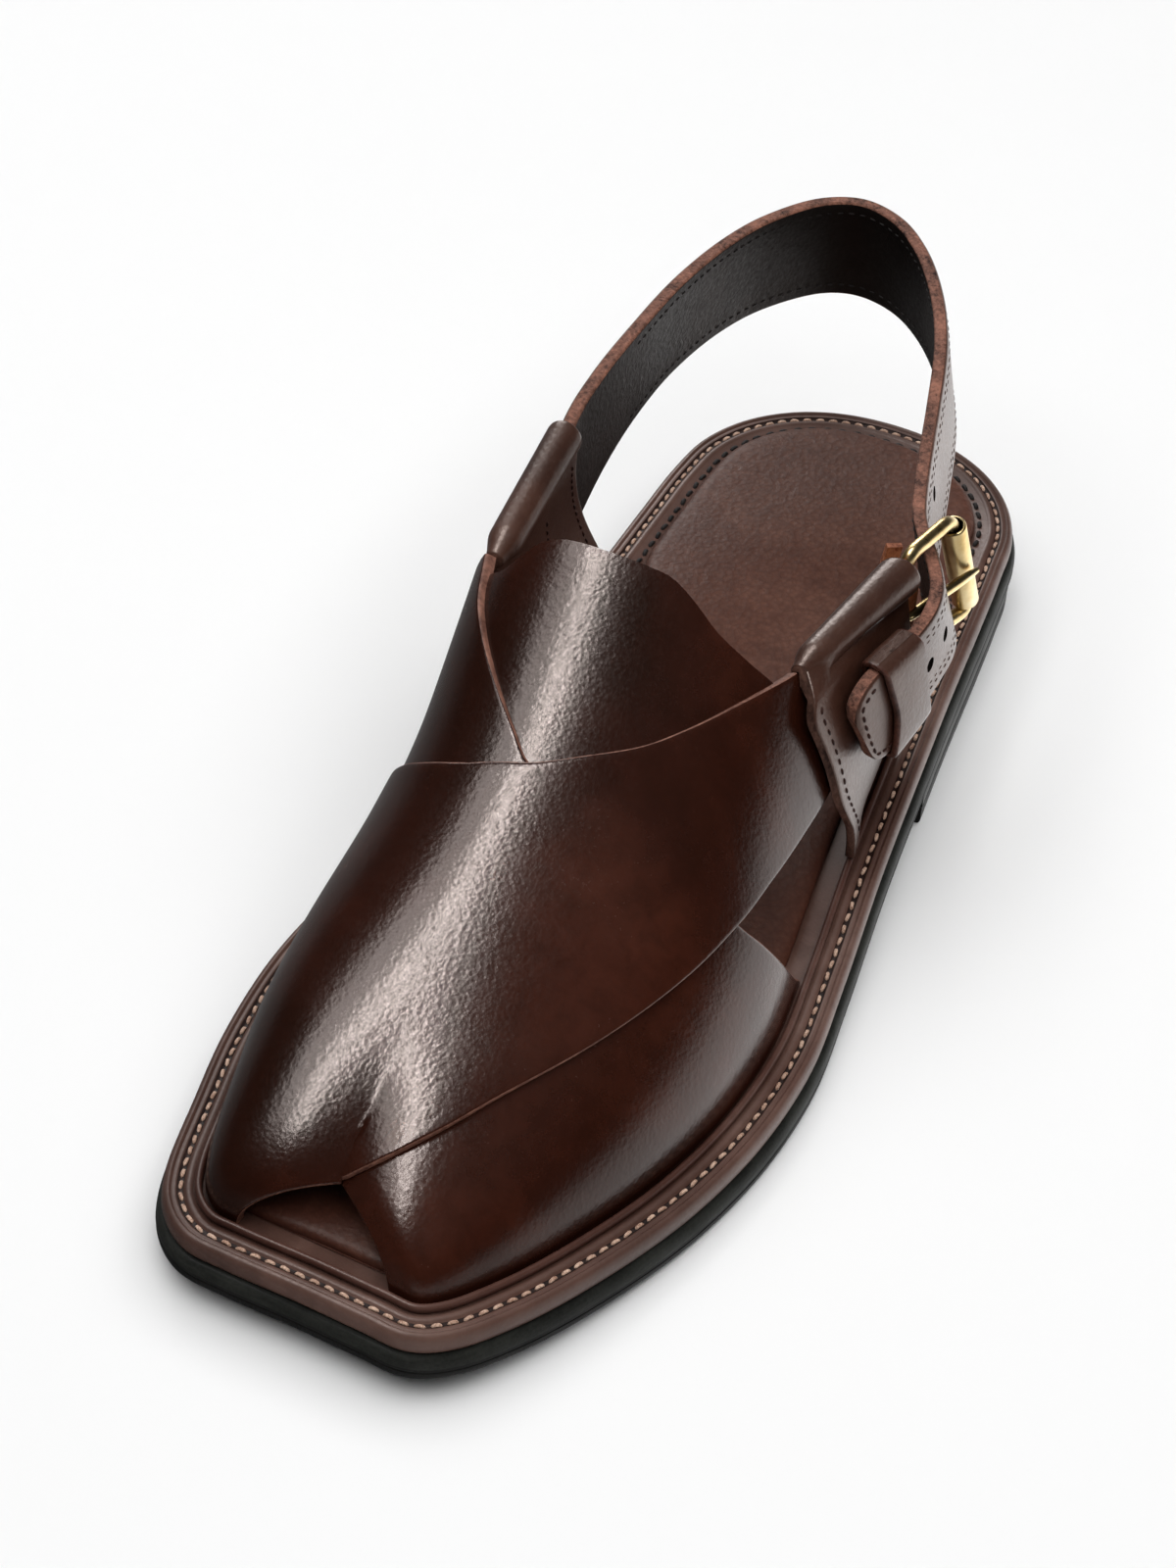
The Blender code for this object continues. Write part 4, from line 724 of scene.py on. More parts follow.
def shell(name, outer, inner, mats, sides, edge_columns=None, **options):
    """Closed wall between two grids; sides are the material numbers of outer, inner and rim."""
    rows, columns = outer.shape[:2]
    points = np.vstack([outer.reshape(-1, 3), inner.reshape(-1, 3)])
    below = rows * columns
    grid = np.arange(below).reshape(rows, columns)
    faces, index = [], []
    for r in range(rows - 1):
        for c in range(columns - 1):
            quad = [int(k) for k in (grid[r, c], grid[r, c + 1], grid[r + 1, c + 1], grid[r + 1, c])]
            faces += [tuple(quad), tuple(below + k for k in reversed(quad))]
            index += [sides[2] if edge_columns and edge_columns[c] else sides[0], sides[1]]
    rim = list(grid[0]) + list(grid[1:, -1]) + list(grid[-1, -2::-1]) + list(grid[-2:0:-1, 0])
    for a, b in zip(rim, rim[1:] + rim[:1]):
        faces.append((int(b), int(a), int(below + a), int(below + b)))
        index.append(sides[2])
    return add_piece(name, points, faces, mats, index, **options)


STITCH_SINK = 0.15            # how far a stitch lies in its leather
STITCH_LEAN = 0.12
STITCH_RINGS = 9
STITCH_SIDES = 8
STITCH_POINTS = STITCH_RINGS * STITCH_SIDES
STITCH_FACES = ring_faces(STITCH_RINGS, STITCH_SIDES) + [
    tuple(range(STITCH_SIDES - 1, -1, -1)), tuple(range(STITCH_POINTS - STITCH_SIDES, STITCH_POINTS))]


def stitches(name, path, up, mat, pitch, length, radius, sink=STITCH_SINK, slot=None):
    """Separate stitches along a path, each leaning a little; up is the surface's normal along it."""
    path = np.asarray(path, float)
    up = np.broadcast_to(up, path.shape)
    run = length_along(path)
    count = max(1, int(run[-1] / pitch))
    along = np.linspace(-1.0, 1.0, STITCH_RINGS)
    points, faces = [], []
    for k in range(count):
        centre = (k + 0.5) * run[-1] / count
        spots = read_at(np.clip(centre + along * length / 2, 0.0, run[-1]), run, path)
        ahead = unit(spots[-1] - spots[0])
        normal = read_at([centre], run, up)[0]
        normal = unit(normal - ahead * np.dot(normal, ahead))
        side = np.cross(ahead, normal)
        lean = STITCH_LEAN * math.sin(7.3 * k + 1.7 * math.sin(2.1 * k))
        for t, spot in zip(along, spots):
            width = radius * (1.0 - t ** 4) ** 0.5 + 0.02
            middle = spot + normal * (radius * (0.85 - 0.9 * t * t) - sink) + side * lean * t * radius * 3.0
            for turn in circle_turns(STITCH_SIDES):
                points.append(middle + width * (math.cos(turn) * side * 1.1 + math.sin(turn) * normal * 0.85))
        faces += [tuple(k * STITCH_POINTS + i for i in face) for face in STITCH_FACES]
    return add_piece(name, points, faces, [mat], sharp=80.0, slot=slot)


# ======== sole ========

# (offset from the stitch line, height over the sole's underside); the heel's heights are over the ground
OUTSOLE_PROFILE = (
    (3.9, 0.0), (4.5, 0.2), (4.85, 0.6), (4.95, 1.2), (4.95, 2.0), (4.8, 2.15), (4.8, 2.35), (4.95, 2.5),
    (4.97, 3.2), (4.9, 4.0), (4.72, 4.8), (4.45, 5.4), (4.1, 5.8), (3.7, 5.98))
MIDSOLE_PROFILE = (
    (2.9, 6.25), (3.3, 6.35), (3.58, 6.8), (3.7, 7.5), (3.7, 8.4), (3.62, 9.3), (3.4, 10.05), (3.05, 10.6),
    (2.65, 10.9), (2.25, 10.98), (1.95, 10.8), (1.75, 10.55), (1.5, 10.62), (1.15, 10.72), (0.8, 10.62),
    (0.55, 10.25), (0.3, 10.1), (-0.3, 10.1), (-0.55, 10.25), (-0.8, 10.65), (-1.15, 10.9), (-1.6, 10.98),
    (-2.0, 10.9), (-2.3, 10.72), (-2.5, 10.6))
RAND_PROFILE = (
    (-2.78, 10.9), (-2.62, 11.3), (-2.6, 11.8), (-2.72, 12.2), (-3.0, 12.52), (-3.4, 12.66), (-3.8, 12.52),
    (-4.05, 12.1), (-4.18, 11.5), (-4.22, 10.9))
HEEL_PROFILE = (
    (3.5, 0.0), (4.0, 0.15), (4.35, 0.6), (4.5, 1.2), (4.5, 4.4), (4.42, 4.62), (4.1, 4.72), (4.1, 5.15),
    (4.42, 5.25), (4.5, 5.45), (4.5, 9.3), (4.3, 9.7))
# material numbers of the profiles' steps
# the outsole's top steps take the paler rubber, painted light on the bevel
OUTSOLE_BANDS = [0] * 8 + [1] * 5
# the welt's stitch channel steps take the near-black leather, painted shade in the groove
MIDSOLE_BANDS = [0] * 14 + [1] * 4 + [0] * 6
# the heel's top steps take the paler rubber, painted light on its upper edge
HEEL_BANDS = [0] * 9 + [1] * 2
HEEL_RING = 200
TOE_SKIP = 60                 # points of the stitch line round the toe, where its y turns back
RAND_POINTS = 340
WELT_THREAD_HEIGHT = 10.25
HEEL_SEAT_INSET = 4.35
HEEL_SEAT_FRONT_Y = 44.0
UPWARD = (0.0, 0.0, 1.0)


def make_sole():
    sole_piece("outsole_body", OUTSOLE_PROFILE, RUBBER_MATS, OUTSOLE_BANDS, stands_for=("outsole",),
               slot="outsole_rubber")
    sole_piece("welt_body", MIDSOLE_PROFILE, [welt_leather, welt_groove_painted_shade], MIDSOLE_BANDS,
               stands_for=("midsole",), slot="midsole_leather")
    rings = []
    for offset, height in HEEL_PROFILE:
        outline = WELT + WELT_NORMALS * offset
        back = rearmost(outline)
        sides = outline[TOE_SKIP:back + 1], outline[:back - 1:-1][TOE_SKIP:]
        breast = [(np.interp(HEEL_BREAST_Y, side[:, 1], side[:, 0]), HEEL_BREAST_Y) for side in sides]
        rear = outline[outline[:, 1] > HEEL_BREAST_Y + 0.5]
        plan = crowd_bends(np.vstack([breast[:1], rear, breast[1:]]), HEEL_RING)
        rings.append(np.column_stack([plan, np.full(len(plan), height)]))
    loft("heel_body", rings, RUBBER_MATS, along=HEEL_BANDS, stands_for=("heel_block",), slot="heel_rubber")
    frames = np.hstack([WELT, WELT_NORMALS])
    back = rearmost(WELT)
    medial = frames[back:][frames[back:, 1] < RAND_END_MEDIAL]
    lateral = frames[:back][frames[:back, 1] < RAND_END_LATERAL]
    offsets, heights = np.array(RAND_PROFILE).T
    rings = [on_sole(row[:2] + unit(row[2:4]) * offsets[:, None], heights)
             for row in crowd_bends(np.vstack([medial, lateral]), RAND_POINTS)]
    loft("rand_bead", rings, [rand_leather], stands_for=("rand",), slot="rand_leather")
    loop = np.vstack([WELT, WELT[:1]])
    stitches("welt_stitches", on_sole(loop, WELT_THREAD_HEIGHT), UPWARD, tan_thread,
             pitch=3.15, length=2.3, radius=0.36)
    inner = (WELT - WELT_NORMALS * HEEL_SEAT_INSET)[WELT[:, 1] > HEEL_SEAT_FRONT_Y]
    path = np.column_stack([inner, np.full(len(inner), HEEL_RISE + FLOOR_HEIGHT)])
    stitches("heel_seat_stitches", path, UPWARD, black_thread, pitch=3.6, length=2.7, radius=0.46, sink=0.1)


def crease(x, y):
    """Small waves across the insole's waist, where the leather has been pressed together."""
    band = np.exp(-((y - 22.0) / 34.0) ** 2)
    phase = y * 1.35 + 1.6 * np.sin(x * 0.13 + 0.8) + 0.9 * np.sin(x * 0.31 + y * 0.21)
    return band * (0.5 + 0.5 * np.sin(x * 0.23 + y * 0.17)) * np.sin(phase) * 0.09


# (inset, height) of the insole's rounded edge, then its top: rings by share of the way to the spine
INSOLE_EDGE = ((0.0, 10.92), (0.0, 11.5), (0.12, 11.95), (0.45, 12.4), (0.95, 12.78), (1.7, 13.08),
               (2.8, 13.28), (4.2, 13.42), (6.0, 13.52))
INSOLE_TOP = 13.52
INSOLE_SWELL = 0.35
INSOLE_SHARES = np.linspace(0.26, 1.0, 26)
INSOLE_SPINE = (-112.0, 104.0)
CREASE_INSET = 3.0            # the edge further out stays free of creases


def make_insole():
    """Padded insole: rings that close in on a spine, so that its edge stays evenly round."""
    start = np.where(WELT[:, 0] > 0.0, LATERAL_STEP_Y, MEDIAL_STEP_Y)
    step = ease(WELT[:, 1] - start, 0.0, INSOLE_STEP_RUN)
    rim = sole_outline(INSOLE_FORE_OFFSET + (INSOLE_HEEL_OFFSET - INSOLE_FORE_OFFSET) * step)
    middle = 0.5 * (rim + np.roll(rim[::-1], 1, axis=0))
    spine = np.column_stack([middle[:, 0], middle[:, 1].clip(*INSOLE_SPINE)])
    reach = np.linalg.norm(rim - spine, axis=1)
    rows = [(np.minimum(inset / reach, 0.2), height, inset > CREASE_INSET) for inset, height in INSOLE_EDGE]
    rows += [(np.full(len(rim), share), INSOLE_TOP + INSOLE_SWELL * math.sin(0.5 * math.pi * share), True)
             for share in INSOLE_SHARES]
    rings = []
    for part, height, creased in rows:
        plan = rim + (spine - rim) * part[:, None]
        lift = np.full(len(rim), height)
        if creased:
            lift += crease(plan[:, 0], plan[:, 1])
        rings.append(on_sole(plan, lift))
    faces = ring_faces(len(rings), RIM_COUNT) + rim_cap(0)
    piece = add_piece("insole_pad", np.vstack(rings), faces, [insole_leather], sharp=70.0,
                      stands_for=("insole",), slot="insole_leather")


# ======== upper ========

# (inset from a strap's cut edge, how far its face drops there)
EDGE_ROUND = ((0.0, 0.95), (0.04, 0.6), (0.16, 0.3), (0.38, 0.1), (0.75, 0.02), (1.3, 0.0))
CUT_STEPS = 3                 # steps from the edge inwards that show the cut leather
RUBBED_REACH = 2.2            # wear fades over this distance from an edge
STRAP_RUN = (46, 64)          # points along a strap, before and behind its widest place
STRAP_COLUMNS = 60
NOTCH_RUN = (8, 14)
NOTCH_SLAB = (2.5, -4.5)
COVER_LIFT = 2.75             # how far the over-strap's underside rises to lie on the under-strap
TONGUE_ROWS = 71
TONGUE_COLUMNS = 91
RUN_SCALE = np.array([20.0, 0.8])   # millimetres a section and a degree take up on the last, about


def edge_run(table, count):
    """Smooth edge through (section, turn) rows, evenly spaced on the last."""
    return smooth_path(np.array(table) * RUN_SCALE, count) / RUN_SCALE


def edges_of(runs, counts):
    """Near and far edge of a strip, as (section, turn) rows."""
    near, far = [], []
    for (front, rear), count in zip(runs, counts):
        start = 1 if near else 0
        near.append(edge_run(front, count)[start:])
        far.append(edge_run(rear, count)[start:])
    limits = (0.0, 0.0), (REAR_SECTION, 180.0)
    return np.clip(np.vstack(near), *limits), np.clip(np.vstack(far), *limits)


def between(near, far, share):
    """Sections and turns at given shares of the way from one edge to the other."""
    return [near[:, None, k] * (1.0 - share) + far[:, None, k] * share for k in range(2)]


def strap_piece(name, runs, cover):
    """Strap lying on the last, with long edges rounded over; its edges take the second material.

    cover tells how far it lies on the other strap, 0 to 1."""
    near, far = edges_of(runs, STRAP_RUN)
    width = np.linalg.norm(last_surface(*near.T) - last_surface(*far.T), axis=1)[:, None]
    insets, drops = np.array(EDGE_ROUND).T
    edge = insets[None, :] / width
    inner = edge[:, -1:]
    middle = inner + (1.0 - 2.0 * inner) * np.linspace(0.0, 1.0, STRAP_COLUMNS)[None, 1:-1]
    share = np.hstack([edge, middle, 1.0 - edge[:, ::-1]])
    section, turn = between(near, far, share)
    drop = np.r_[drops, np.zeros(STRAP_COLUMNS - 2), drops[::-1]]
    covered = cover(section, turn)
    outer = on_last(section, turn, STRAP_STEP * (1.0 + covered) - drop[None, :])
    under = on_last(section, turn, -STRAP_ROOT + COVER_LIFT * covered)
    steps = len(drop) - 1
    edge_columns = [k < CUT_STEPS or k >= steps - CUT_STEPS for k in range(steps)]
    rubbed = np.exp(-np.minimum(share, 1.0 - share) * width / RUBBED_REACH).ravel()
    return shell(name, outer, under, [upper_leather, raw_edge], (0, 0, 1), edge_columns,
                 values=np.r_[rubbed, rubbed], slot="upper_leather")


def on_under_strap(section, turn):
    front = np.interp(section, *np.array(UNDER_FRONT).T)
    return ease(turn / (front + 2.0), 0.0, 1.0) * (1.0 - ease(section, 5.0, 6.4))


def notch(runs):
    """Slab through the wall between two pairs of edges."""
    section, turn = between(*edges_of(runs, NOTCH_RUN), np.linspace(0.0, 1.0, 7)[None, :])
    slab = [on_last(section, turn, lift) for lift in NOTCH_SLAB]
    for grid in slab:
        grid[..., 2] -= 3.0 * ((turn < 0.01) | (turn > 179.99))
    return shell("notch", *slab, UPPER_MATS, (2, 2, 2))


def make_upper():
    turn = np.linspace(0.0, 180.0, TONGUE_COLUMNS)
    throat = smooth_path(np.array(THROAT_EDGE) * (1.0, 40.0), 400) / (1.0, 40.0)
    edge = np.interp(turn, throat[:, 0], throat[:, 1]).clip(0.0, REAR_SECTION)
    share = np.linspace(0.0, 1.0, TONGUE_ROWS)[:, None]
    section = TOE_SETBACK + (edge[None, :] - TOE_SETBACK) * share
    turn = turn[None, :].repeat(TONGUE_ROWS, axis=0)
    outer = on_last(section, turn, np.zeros(section.shape) - 0.25 * (share > 0.999))
    body = shell("upper_body", outer, on_last(section, turn, -LINING_DEPTH), UPPER_MATS, (0, 1, 2),
                 stands_for=("upper",), slot="upper_leather")
    cut(body, notch(LATERAL_NOTCH))
    cut(body, notch(MEDIAL_NOTCH))
    strap_piece("under_strap", ((TOE_HALF_UNDER, UNDER_REAR_FORE), (UNDER_FRONT, UNDER_REAR_AFT)),
                lambda section, turn: np.zeros(section.shape))
    strap_piece("over_strap", ((TOE_HALF_OVER, OVER_REAR_FORE), (OVER_FRONT, OVER_REAR_AFT)), on_under_strap)


# ======== quarters ========

QUARTER_LEVELS = np.r_[0.0, 0.03, np.linspace(0.08, 0.93, 25)]
# (share of the way back, how much slimmer the wall is there, which rounds its ends)
QUARTER_SHARES = (
    ((0.0, 0.25), (0.004, 0.08), (0.01, 0.0), (0.03, 0.0))
    + tuple((share, 0.0) for share in np.linspace(0.06, 0.94, 34))
    + ((0.975, 0.0), (0.988, 0.06), (0.996, 0.2), (1.0, 0.45)))
ROLL_STEPS = 26
ROLL_HALF_ARC = math.radians(128.0)
ROLL_TAPER = 1.6              # the roll is this much slimmer at its front end
SOLE_TOP = FLOOR_HEIGHT + GAP


def quarter_foot(line, y):
    """Point of the feather line at a given y, beside the heel."""
    behind = line[line[:, 1] > -60.0]
    return np.array([np.interp(y, behind[:, 1], behind[:, 0]), y, tread_height(y) + SOLE_TOP])


def quarter_middle(quarter, share, height):
    """Point of a quarter's middle surface: share of the way back, height from foot 0 to roll 1."""
    lateral = quarter.turn > 90.0
    foot_turn, side, line = (180.0, 1.0, FEATHER_LATERAL) if lateral else (0.0, -1.0, FEATHER_MEDIAL)
    gap = np.array((0.0, QUARTER_GAP, 0.0))
    front_turn = foot_turn + (quarter.turn - foot_turn) * height
    front = last_surface(REAR_SECTION, front_turn) + gap
    roll = last_surface(REAR_SECTION, quarter.turn)
    front += np.array([quarter.front_x - roll[0], 0.0, quarter.front_z - roll[2]]) * height ** quarter.power
    front[1] -= quarter.forward * ease(height, 0.0, 0.45) * (1.0 - ease(height, 0.8, 1.0))
    low = 1.0 - ease(height, 0.0, 0.2)
    front += (last_normal(REAR_SECTION, front_turn) * quarter.outward * (1.0 - low)
              * (1.0 - ease(height, 0.9, 1.0)))
    rear_foot = quarter_foot(line, quarter.foot_y)
    rear = rear_foot + (np.array([quarter.roll_x, quarter.roll_y, quarter.roll_z]) - rear_foot) * height
    rear[0] += side * quarter.bulge * math.sin(math.pi * height)
    point = front + (rear - front) * share
    start = last_surface(REAR_SECTION, foot_turn)
    foot = quarter_foot(line, start[1] + QUARTER_GAP + (quarter.foot_y - start[1] - QUARTER_GAP) * share)
    straight = start + gap + (rear_foot - start - gap) * share
    lift = 0.0
    if quarter.outward:       # the front corner laps over the rand
        point += low * (1.0 - ease(share, 0.05, 0.3)) * np.array((quarter.outward - 0.2, -1.5, 0.0))
        lift = RAND_CLEARANCE * (1.0 - ease(share, 0.25, 0.4)) * (1.0 - ease(height, 0.0, 0.12))
    return point + (foot - straight) * (1.0 - height) ** 2 + (0.0, 0.0, lift)


def roll_radius(quarter, share):
    return quarter.front_radius + (quarter.rear_radius - quarter.front_radius) * share


def quarter_ring(quarter, share, slim):
    """Section of a quarter: up its outer face, over the roll and down its inner face."""
    side = 1.0 if quarter.turn > 90.0 else -1.0
    thick = ease(share, 0.15, 0.6) * ease(QUARTER_LEVELS, 0.0, 0.35)
    half = 0.5 * (quarter.front_wall + (quarter.rear_wall - quarter.front_wall) * thick) - slim
    middle = [quarter_middle(quarter, share, height) for height in QUARTER_LEVELS]
    roll = quarter_middle(quarter, share, 1.0)
    outside, inside = [], []
    for k, point in enumerate(middle):
        ahead = (middle[k + 1] if k + 1 < len(middle) else roll) - (middle[k - 1] if k else point)
        across = np.array([ahead[2], 0.0, -ahead[0]]) / math.hypot(ahead[0], ahead[2]) * side
        if k == 0:
            across = np.array([side, 0.0, 0.0])
        outside.append(point + across * half[k])
        inside.append(point - across * half[k])
    radius = roll_radius(quarter, share) - slim - ROLL_TAPER * (1.0 - ease(share, 0.0, 0.16))
    lean = math.atan2(roll[2] - middle[-1][2], (roll[0] - middle[-1][0]) * side)
    arc = []
    for k in range(ROLL_STEPS):
        angle = lean - ROLL_HALF_ARC + 2.0 * ROLL_HALF_ARC * k / (ROLL_STEPS - 1)
        arc.append(roll + radius * np.array([side * math.cos(angle), 0.0, math.sin(angle)]))
    return np.array(outside + arc + inside[::-1])


def quarter_piece(name, quarter, node, slot, inside):
    """Quarter with its hollow roll, closed at the front; inside is its inner face's material number."""
    levels = len(QUARTER_LEVELS)
    around = [0] * (levels + ROLL_STEPS - 1) + [inside] * levels + [2]
    rings = [quarter_ring(quarter, share, slim) for share, slim in QUARTER_SHARES]
    piece = loft(name, rings, WALL_MATS, around=around, ends=2, stands_for=(node,), slot=slot)
    bore = []
    turns = circle_turns(24)
    for share in [0.05] + [share for share, slim in QUARTER_SHARES[6:-1:3]] + [1.1]:
        around = np.column_stack([np.cos(turns), 0.0 * turns, np.sin(turns)])
        bore.append(quarter_middle(quarter, share, 1.0) + (roll_radius(quarter, share) - ROLL_WALL) * around)
    return cut(piece, loft(name + "_bore", bore, WALL_MATS, around=(1,), ends=1))


def quarter_seam(name, quarter, share, heights, face, slot):
    """Row of stitches up a quarter; face is 1 on its outer side and -1 on its inner side."""
    ring = quarter_ring(quarter, share, 0.0)
    outside, inside = ring[:len(QUARTER_LEVELS)], ring[-1:-len(QUARTER_LEVELS) - 1:-1]
    chosen = (QUARTER_LEVELS >= heights[0]) & (QUARTER_LEVELS <= heights[1])
    path = (outside if face > 0 else inside)[chosen]
    stitches(name, path, unit(outside - inside)[chosen] * face, dark_thread, pitch=2.5, length=1.8,
             radius=0.24, sink=0.1, slot=slot)


def strap_recess():
    """Room for the over-strap's end under the lateral quarter."""
    turn = np.linspace(*RECESS_TURNS, 67)[None, :].repeat(25, axis=0)
    section = np.linspace(REAR_SECTION - 1.0, REAR_SECTION, 25)[:, None].repeat(67, axis=1)
    walls = [on_last(section, turn, lift) for lift in (STRAP_STEP + GAP, -LINING_DEPTH - GAP)]
    walls = [np.concatenate([wall, wall[-1:] + (0.0, GAP, 0.0)]) for wall in walls]
    return shell("strap_end", *walls, WALL_MATS, (1, 1, 1))


# ======== heel strap and keeper ========

STRAP_COUNT = 300             # stations along the strap
STRAP_ACROSS = 15             # points across its face, and across the keeper's
KEEPER_ACROSS = 11
HOLE_RADIUS = 1.7
SLOT_STATIONS = 60            # stations of the strap from its end inside the medial quarter past its slot
ROW_START, ROW_END = 52.0, 292.0   # rows of stitches, along the strap
KEEPER_SOFT = 0.55            # radius of the loop's edges
KEEPER_STEP = 0.6             # each ring of the loop is set square to the strap over this length


def strap_stations(count):
    """Rows of top x, y, bottom x, y, middle height, half height, bow, from the medial quarter to the tip."""
    inside = []
    heights = np.linspace(0.0, 1.0, 41)
    for share, middle in zip(SLOT_SHARES, SLOT_MIDDLE):
        wall = np.array([quarter_middle(MEDIAL_QUARTER, share, height) for height in heights])
        top, centre, bottom = [
            quarter_middle(MEDIAL_QUARTER, share, np.interp(middle + reach, wall[:, 2], heights))
            for reach in (SLOT_HALF_HEIGHT, 0.0, -SLOT_HALF_HEIGHT)]
        bow = centre[0] - 0.5 * (top[0] + bottom[0])
        outer = 0.5 * STRAP_THICKNESS
        inside.append((top[0] - outer, top[1], bottom[0] - outer, bottom[1], middle, SLOT_HALF_HEIGHT, bow))
    return smooth_path(np.array(inside + [row + (0.0,) for row in STRAP_ROWS_TABLE]), count)


def strap_frames(stations):
    """Middle of the outer face, outward and upward directions and half height at each station."""
    centre = 0.5 * (stations[:, 0:2] + stations[:, 2:4])
    ahead = unit(np.gradient(centre, axis=0))
    out = np.column_stack([-ahead[:, 1], ahead[:, 0], np.zeros(len(ahead))])
    top = np.column_stack([stations[:, 0:2], stations[:, 4] + stations[:, 5]])
    bottom = np.column_stack([stations[:, 2:4], stations[:, 4] - stations[:, 5]])
    half = 0.5 * np.linalg.norm(top - bottom, axis=1)
    return 0.5 * (top + bottom), out, (top - bottom) / (2.0 * half)[:, None], half


def strap_section(corner, grow, across):
    """Closed section as (high side -1 or 1, share, depth); outer face first, then over the top edge."""
    thick = STRAP_THICKNESS + 2.0 * grow
    arc = np.radians(np.linspace(0.0, 90.0, 5))
    rows = []
    for side, face, far in ((1.0, -grow, thick - grow), (-1.0, thick - grow, -grow)):
        rows += [(t, 0.0, face) for t in np.linspace(-side, side, across)]
        rows += [(side, corner * math.sin(a), face + side * corner * (1.0 - math.cos(a))) for a in arc[1:]]
        rows += [(side, corner, thick * t - grow) for t in (0.35, 0.5, 0.65)[::int(side)]]
        rows += [(side, corner * math.cos(a), far - side * corner * (1.0 - math.sin(a))) for a in arc[:-1]]
    return rows


def strap_rings(stations, grow=0.0, corner=0.75, across=STRAP_ACROSS):
    middle, out, up, half = strap_frames(stations)
    rings = []
    for k in range(len(stations)):
        ring = []
        for high, extra, deep in strap_section(corner, grow, across):
            flat = half[k] + grow - corner
            spot = middle[k] + up[k] * (flat * high + math.copysign(extra, high)) - out[k] * deep
            ring.append(spot + np.array((stations[k, 6] * (1.0 - abs(high)), 0.0, 0.0)))
        rings.append(np.array(ring))
    return rings


def strap_bands():
    """Material numbers round the section: outer face, cut edge, lining."""
    edge = [0] * 3 + [2] * 8 + [1]
    return [0] * (STRAP_ACROSS - 1) + edge + [1] * (STRAP_ACROSS - 1) + edge[::-1]


def stations_at(stations, values):
    """Strap stations on its free end at given y."""
    free = stations[rearmost(stations):]
    free = free[free[:, 1] < 40.0]
    free = free[np.argsort(free[:, 1])]
    return read_at(np.asarray(values, float), free[:, 1], free)


def make_heel_strap(medial_wall):
    stations = strap_stations(STRAP_COUNT)
    middle, out, up, half = strap_frames(stations)
    run = length_along(middle)
    strap = loft("strap_body", strap_rings(stations), STRAP_MATS, around=strap_bands(), ends=2,
                 stands_for=("heel_strap",), slot="heel_strap_leather")
    cut(strap, rod("prong_hole", prong_path()[20:], PRONG_RADIUS + GAP, 16, STRAP_MATS, band=2))
    slot = stations[:SLOT_STATIONS].copy()
    step = slot[0] - slot[1]
    slot[0, :4] += step[:4] / np.linalg.norm(step[:2]) * 2.0 * GAP
    cut(medial_wall, loft("strap_slot", strap_rings(slot, SLOT_CLEARANCE), WALL_MATS, around=strap_bands(),
                          ends=1))

    def nearest(at):
        return int(np.argmin(abs(run - at)))

    for at, high in STRAP_HOLES:
        k = nearest(at)
        place = middle[k] + up[k] * half[k] * high
        path = [place + out[k] * (1.5 - deep) for deep in (0.0, 3.0, 7.0)]
        cut(strap, rod("strap_hole", path, HOLE_RADIUS, 24, STRAP_MATS, band=1))
    tip = []
    for from_end, high in [(t, 1.0) for t in (9.0, 7.0, 5.0, 3.5, 2.6)] + [
            (t, -1.0) for t in (2.6, 3.5, 5.0, 7.0, 9.0)]:
        k = nearest(run[-1] - from_end)
        tip.append(middle[k] + up[k] * (half[k] - 2.0) * high)
    stitches("tip_stitches", smooth_path(tip, 60), out[-8], dark_thread, pitch=2.3, length=1.7, radius=0.26,
             sink=0.1, slot="heel_strap_leather")
    for name, inset, deep, end, thread, face, radius in (
            ("strap_stitches_edge", 2.8, 0.0, ROW_END, worn_thread, 1.0, 0.16),
            ("strap_stitches_inner", 4.6, 0.0, ROW_END, worn_thread, 1.0, 0.13),
            ("lining_stitches", 2.9, STRAP_THICKNESS, ROW_END + 4.0, black_thread, -1.0, 0.2)):
        chosen = np.nonzero((run >= ROW_START) & (run <= end))[0]
        for tag, high in (("high", 1.0), ("low", -1.0)):
            path = [middle[k] + up[k] * (half[k] - inset) * high - out[k] * deep for k in chosen]
            stitches(name + "_" + tag, path, out[chosen] * face, thread, pitch=2.6, length=1.7, radius=radius,
                     sink=0.12, slot="heel_strap_leather")
    make_keeper(stations)


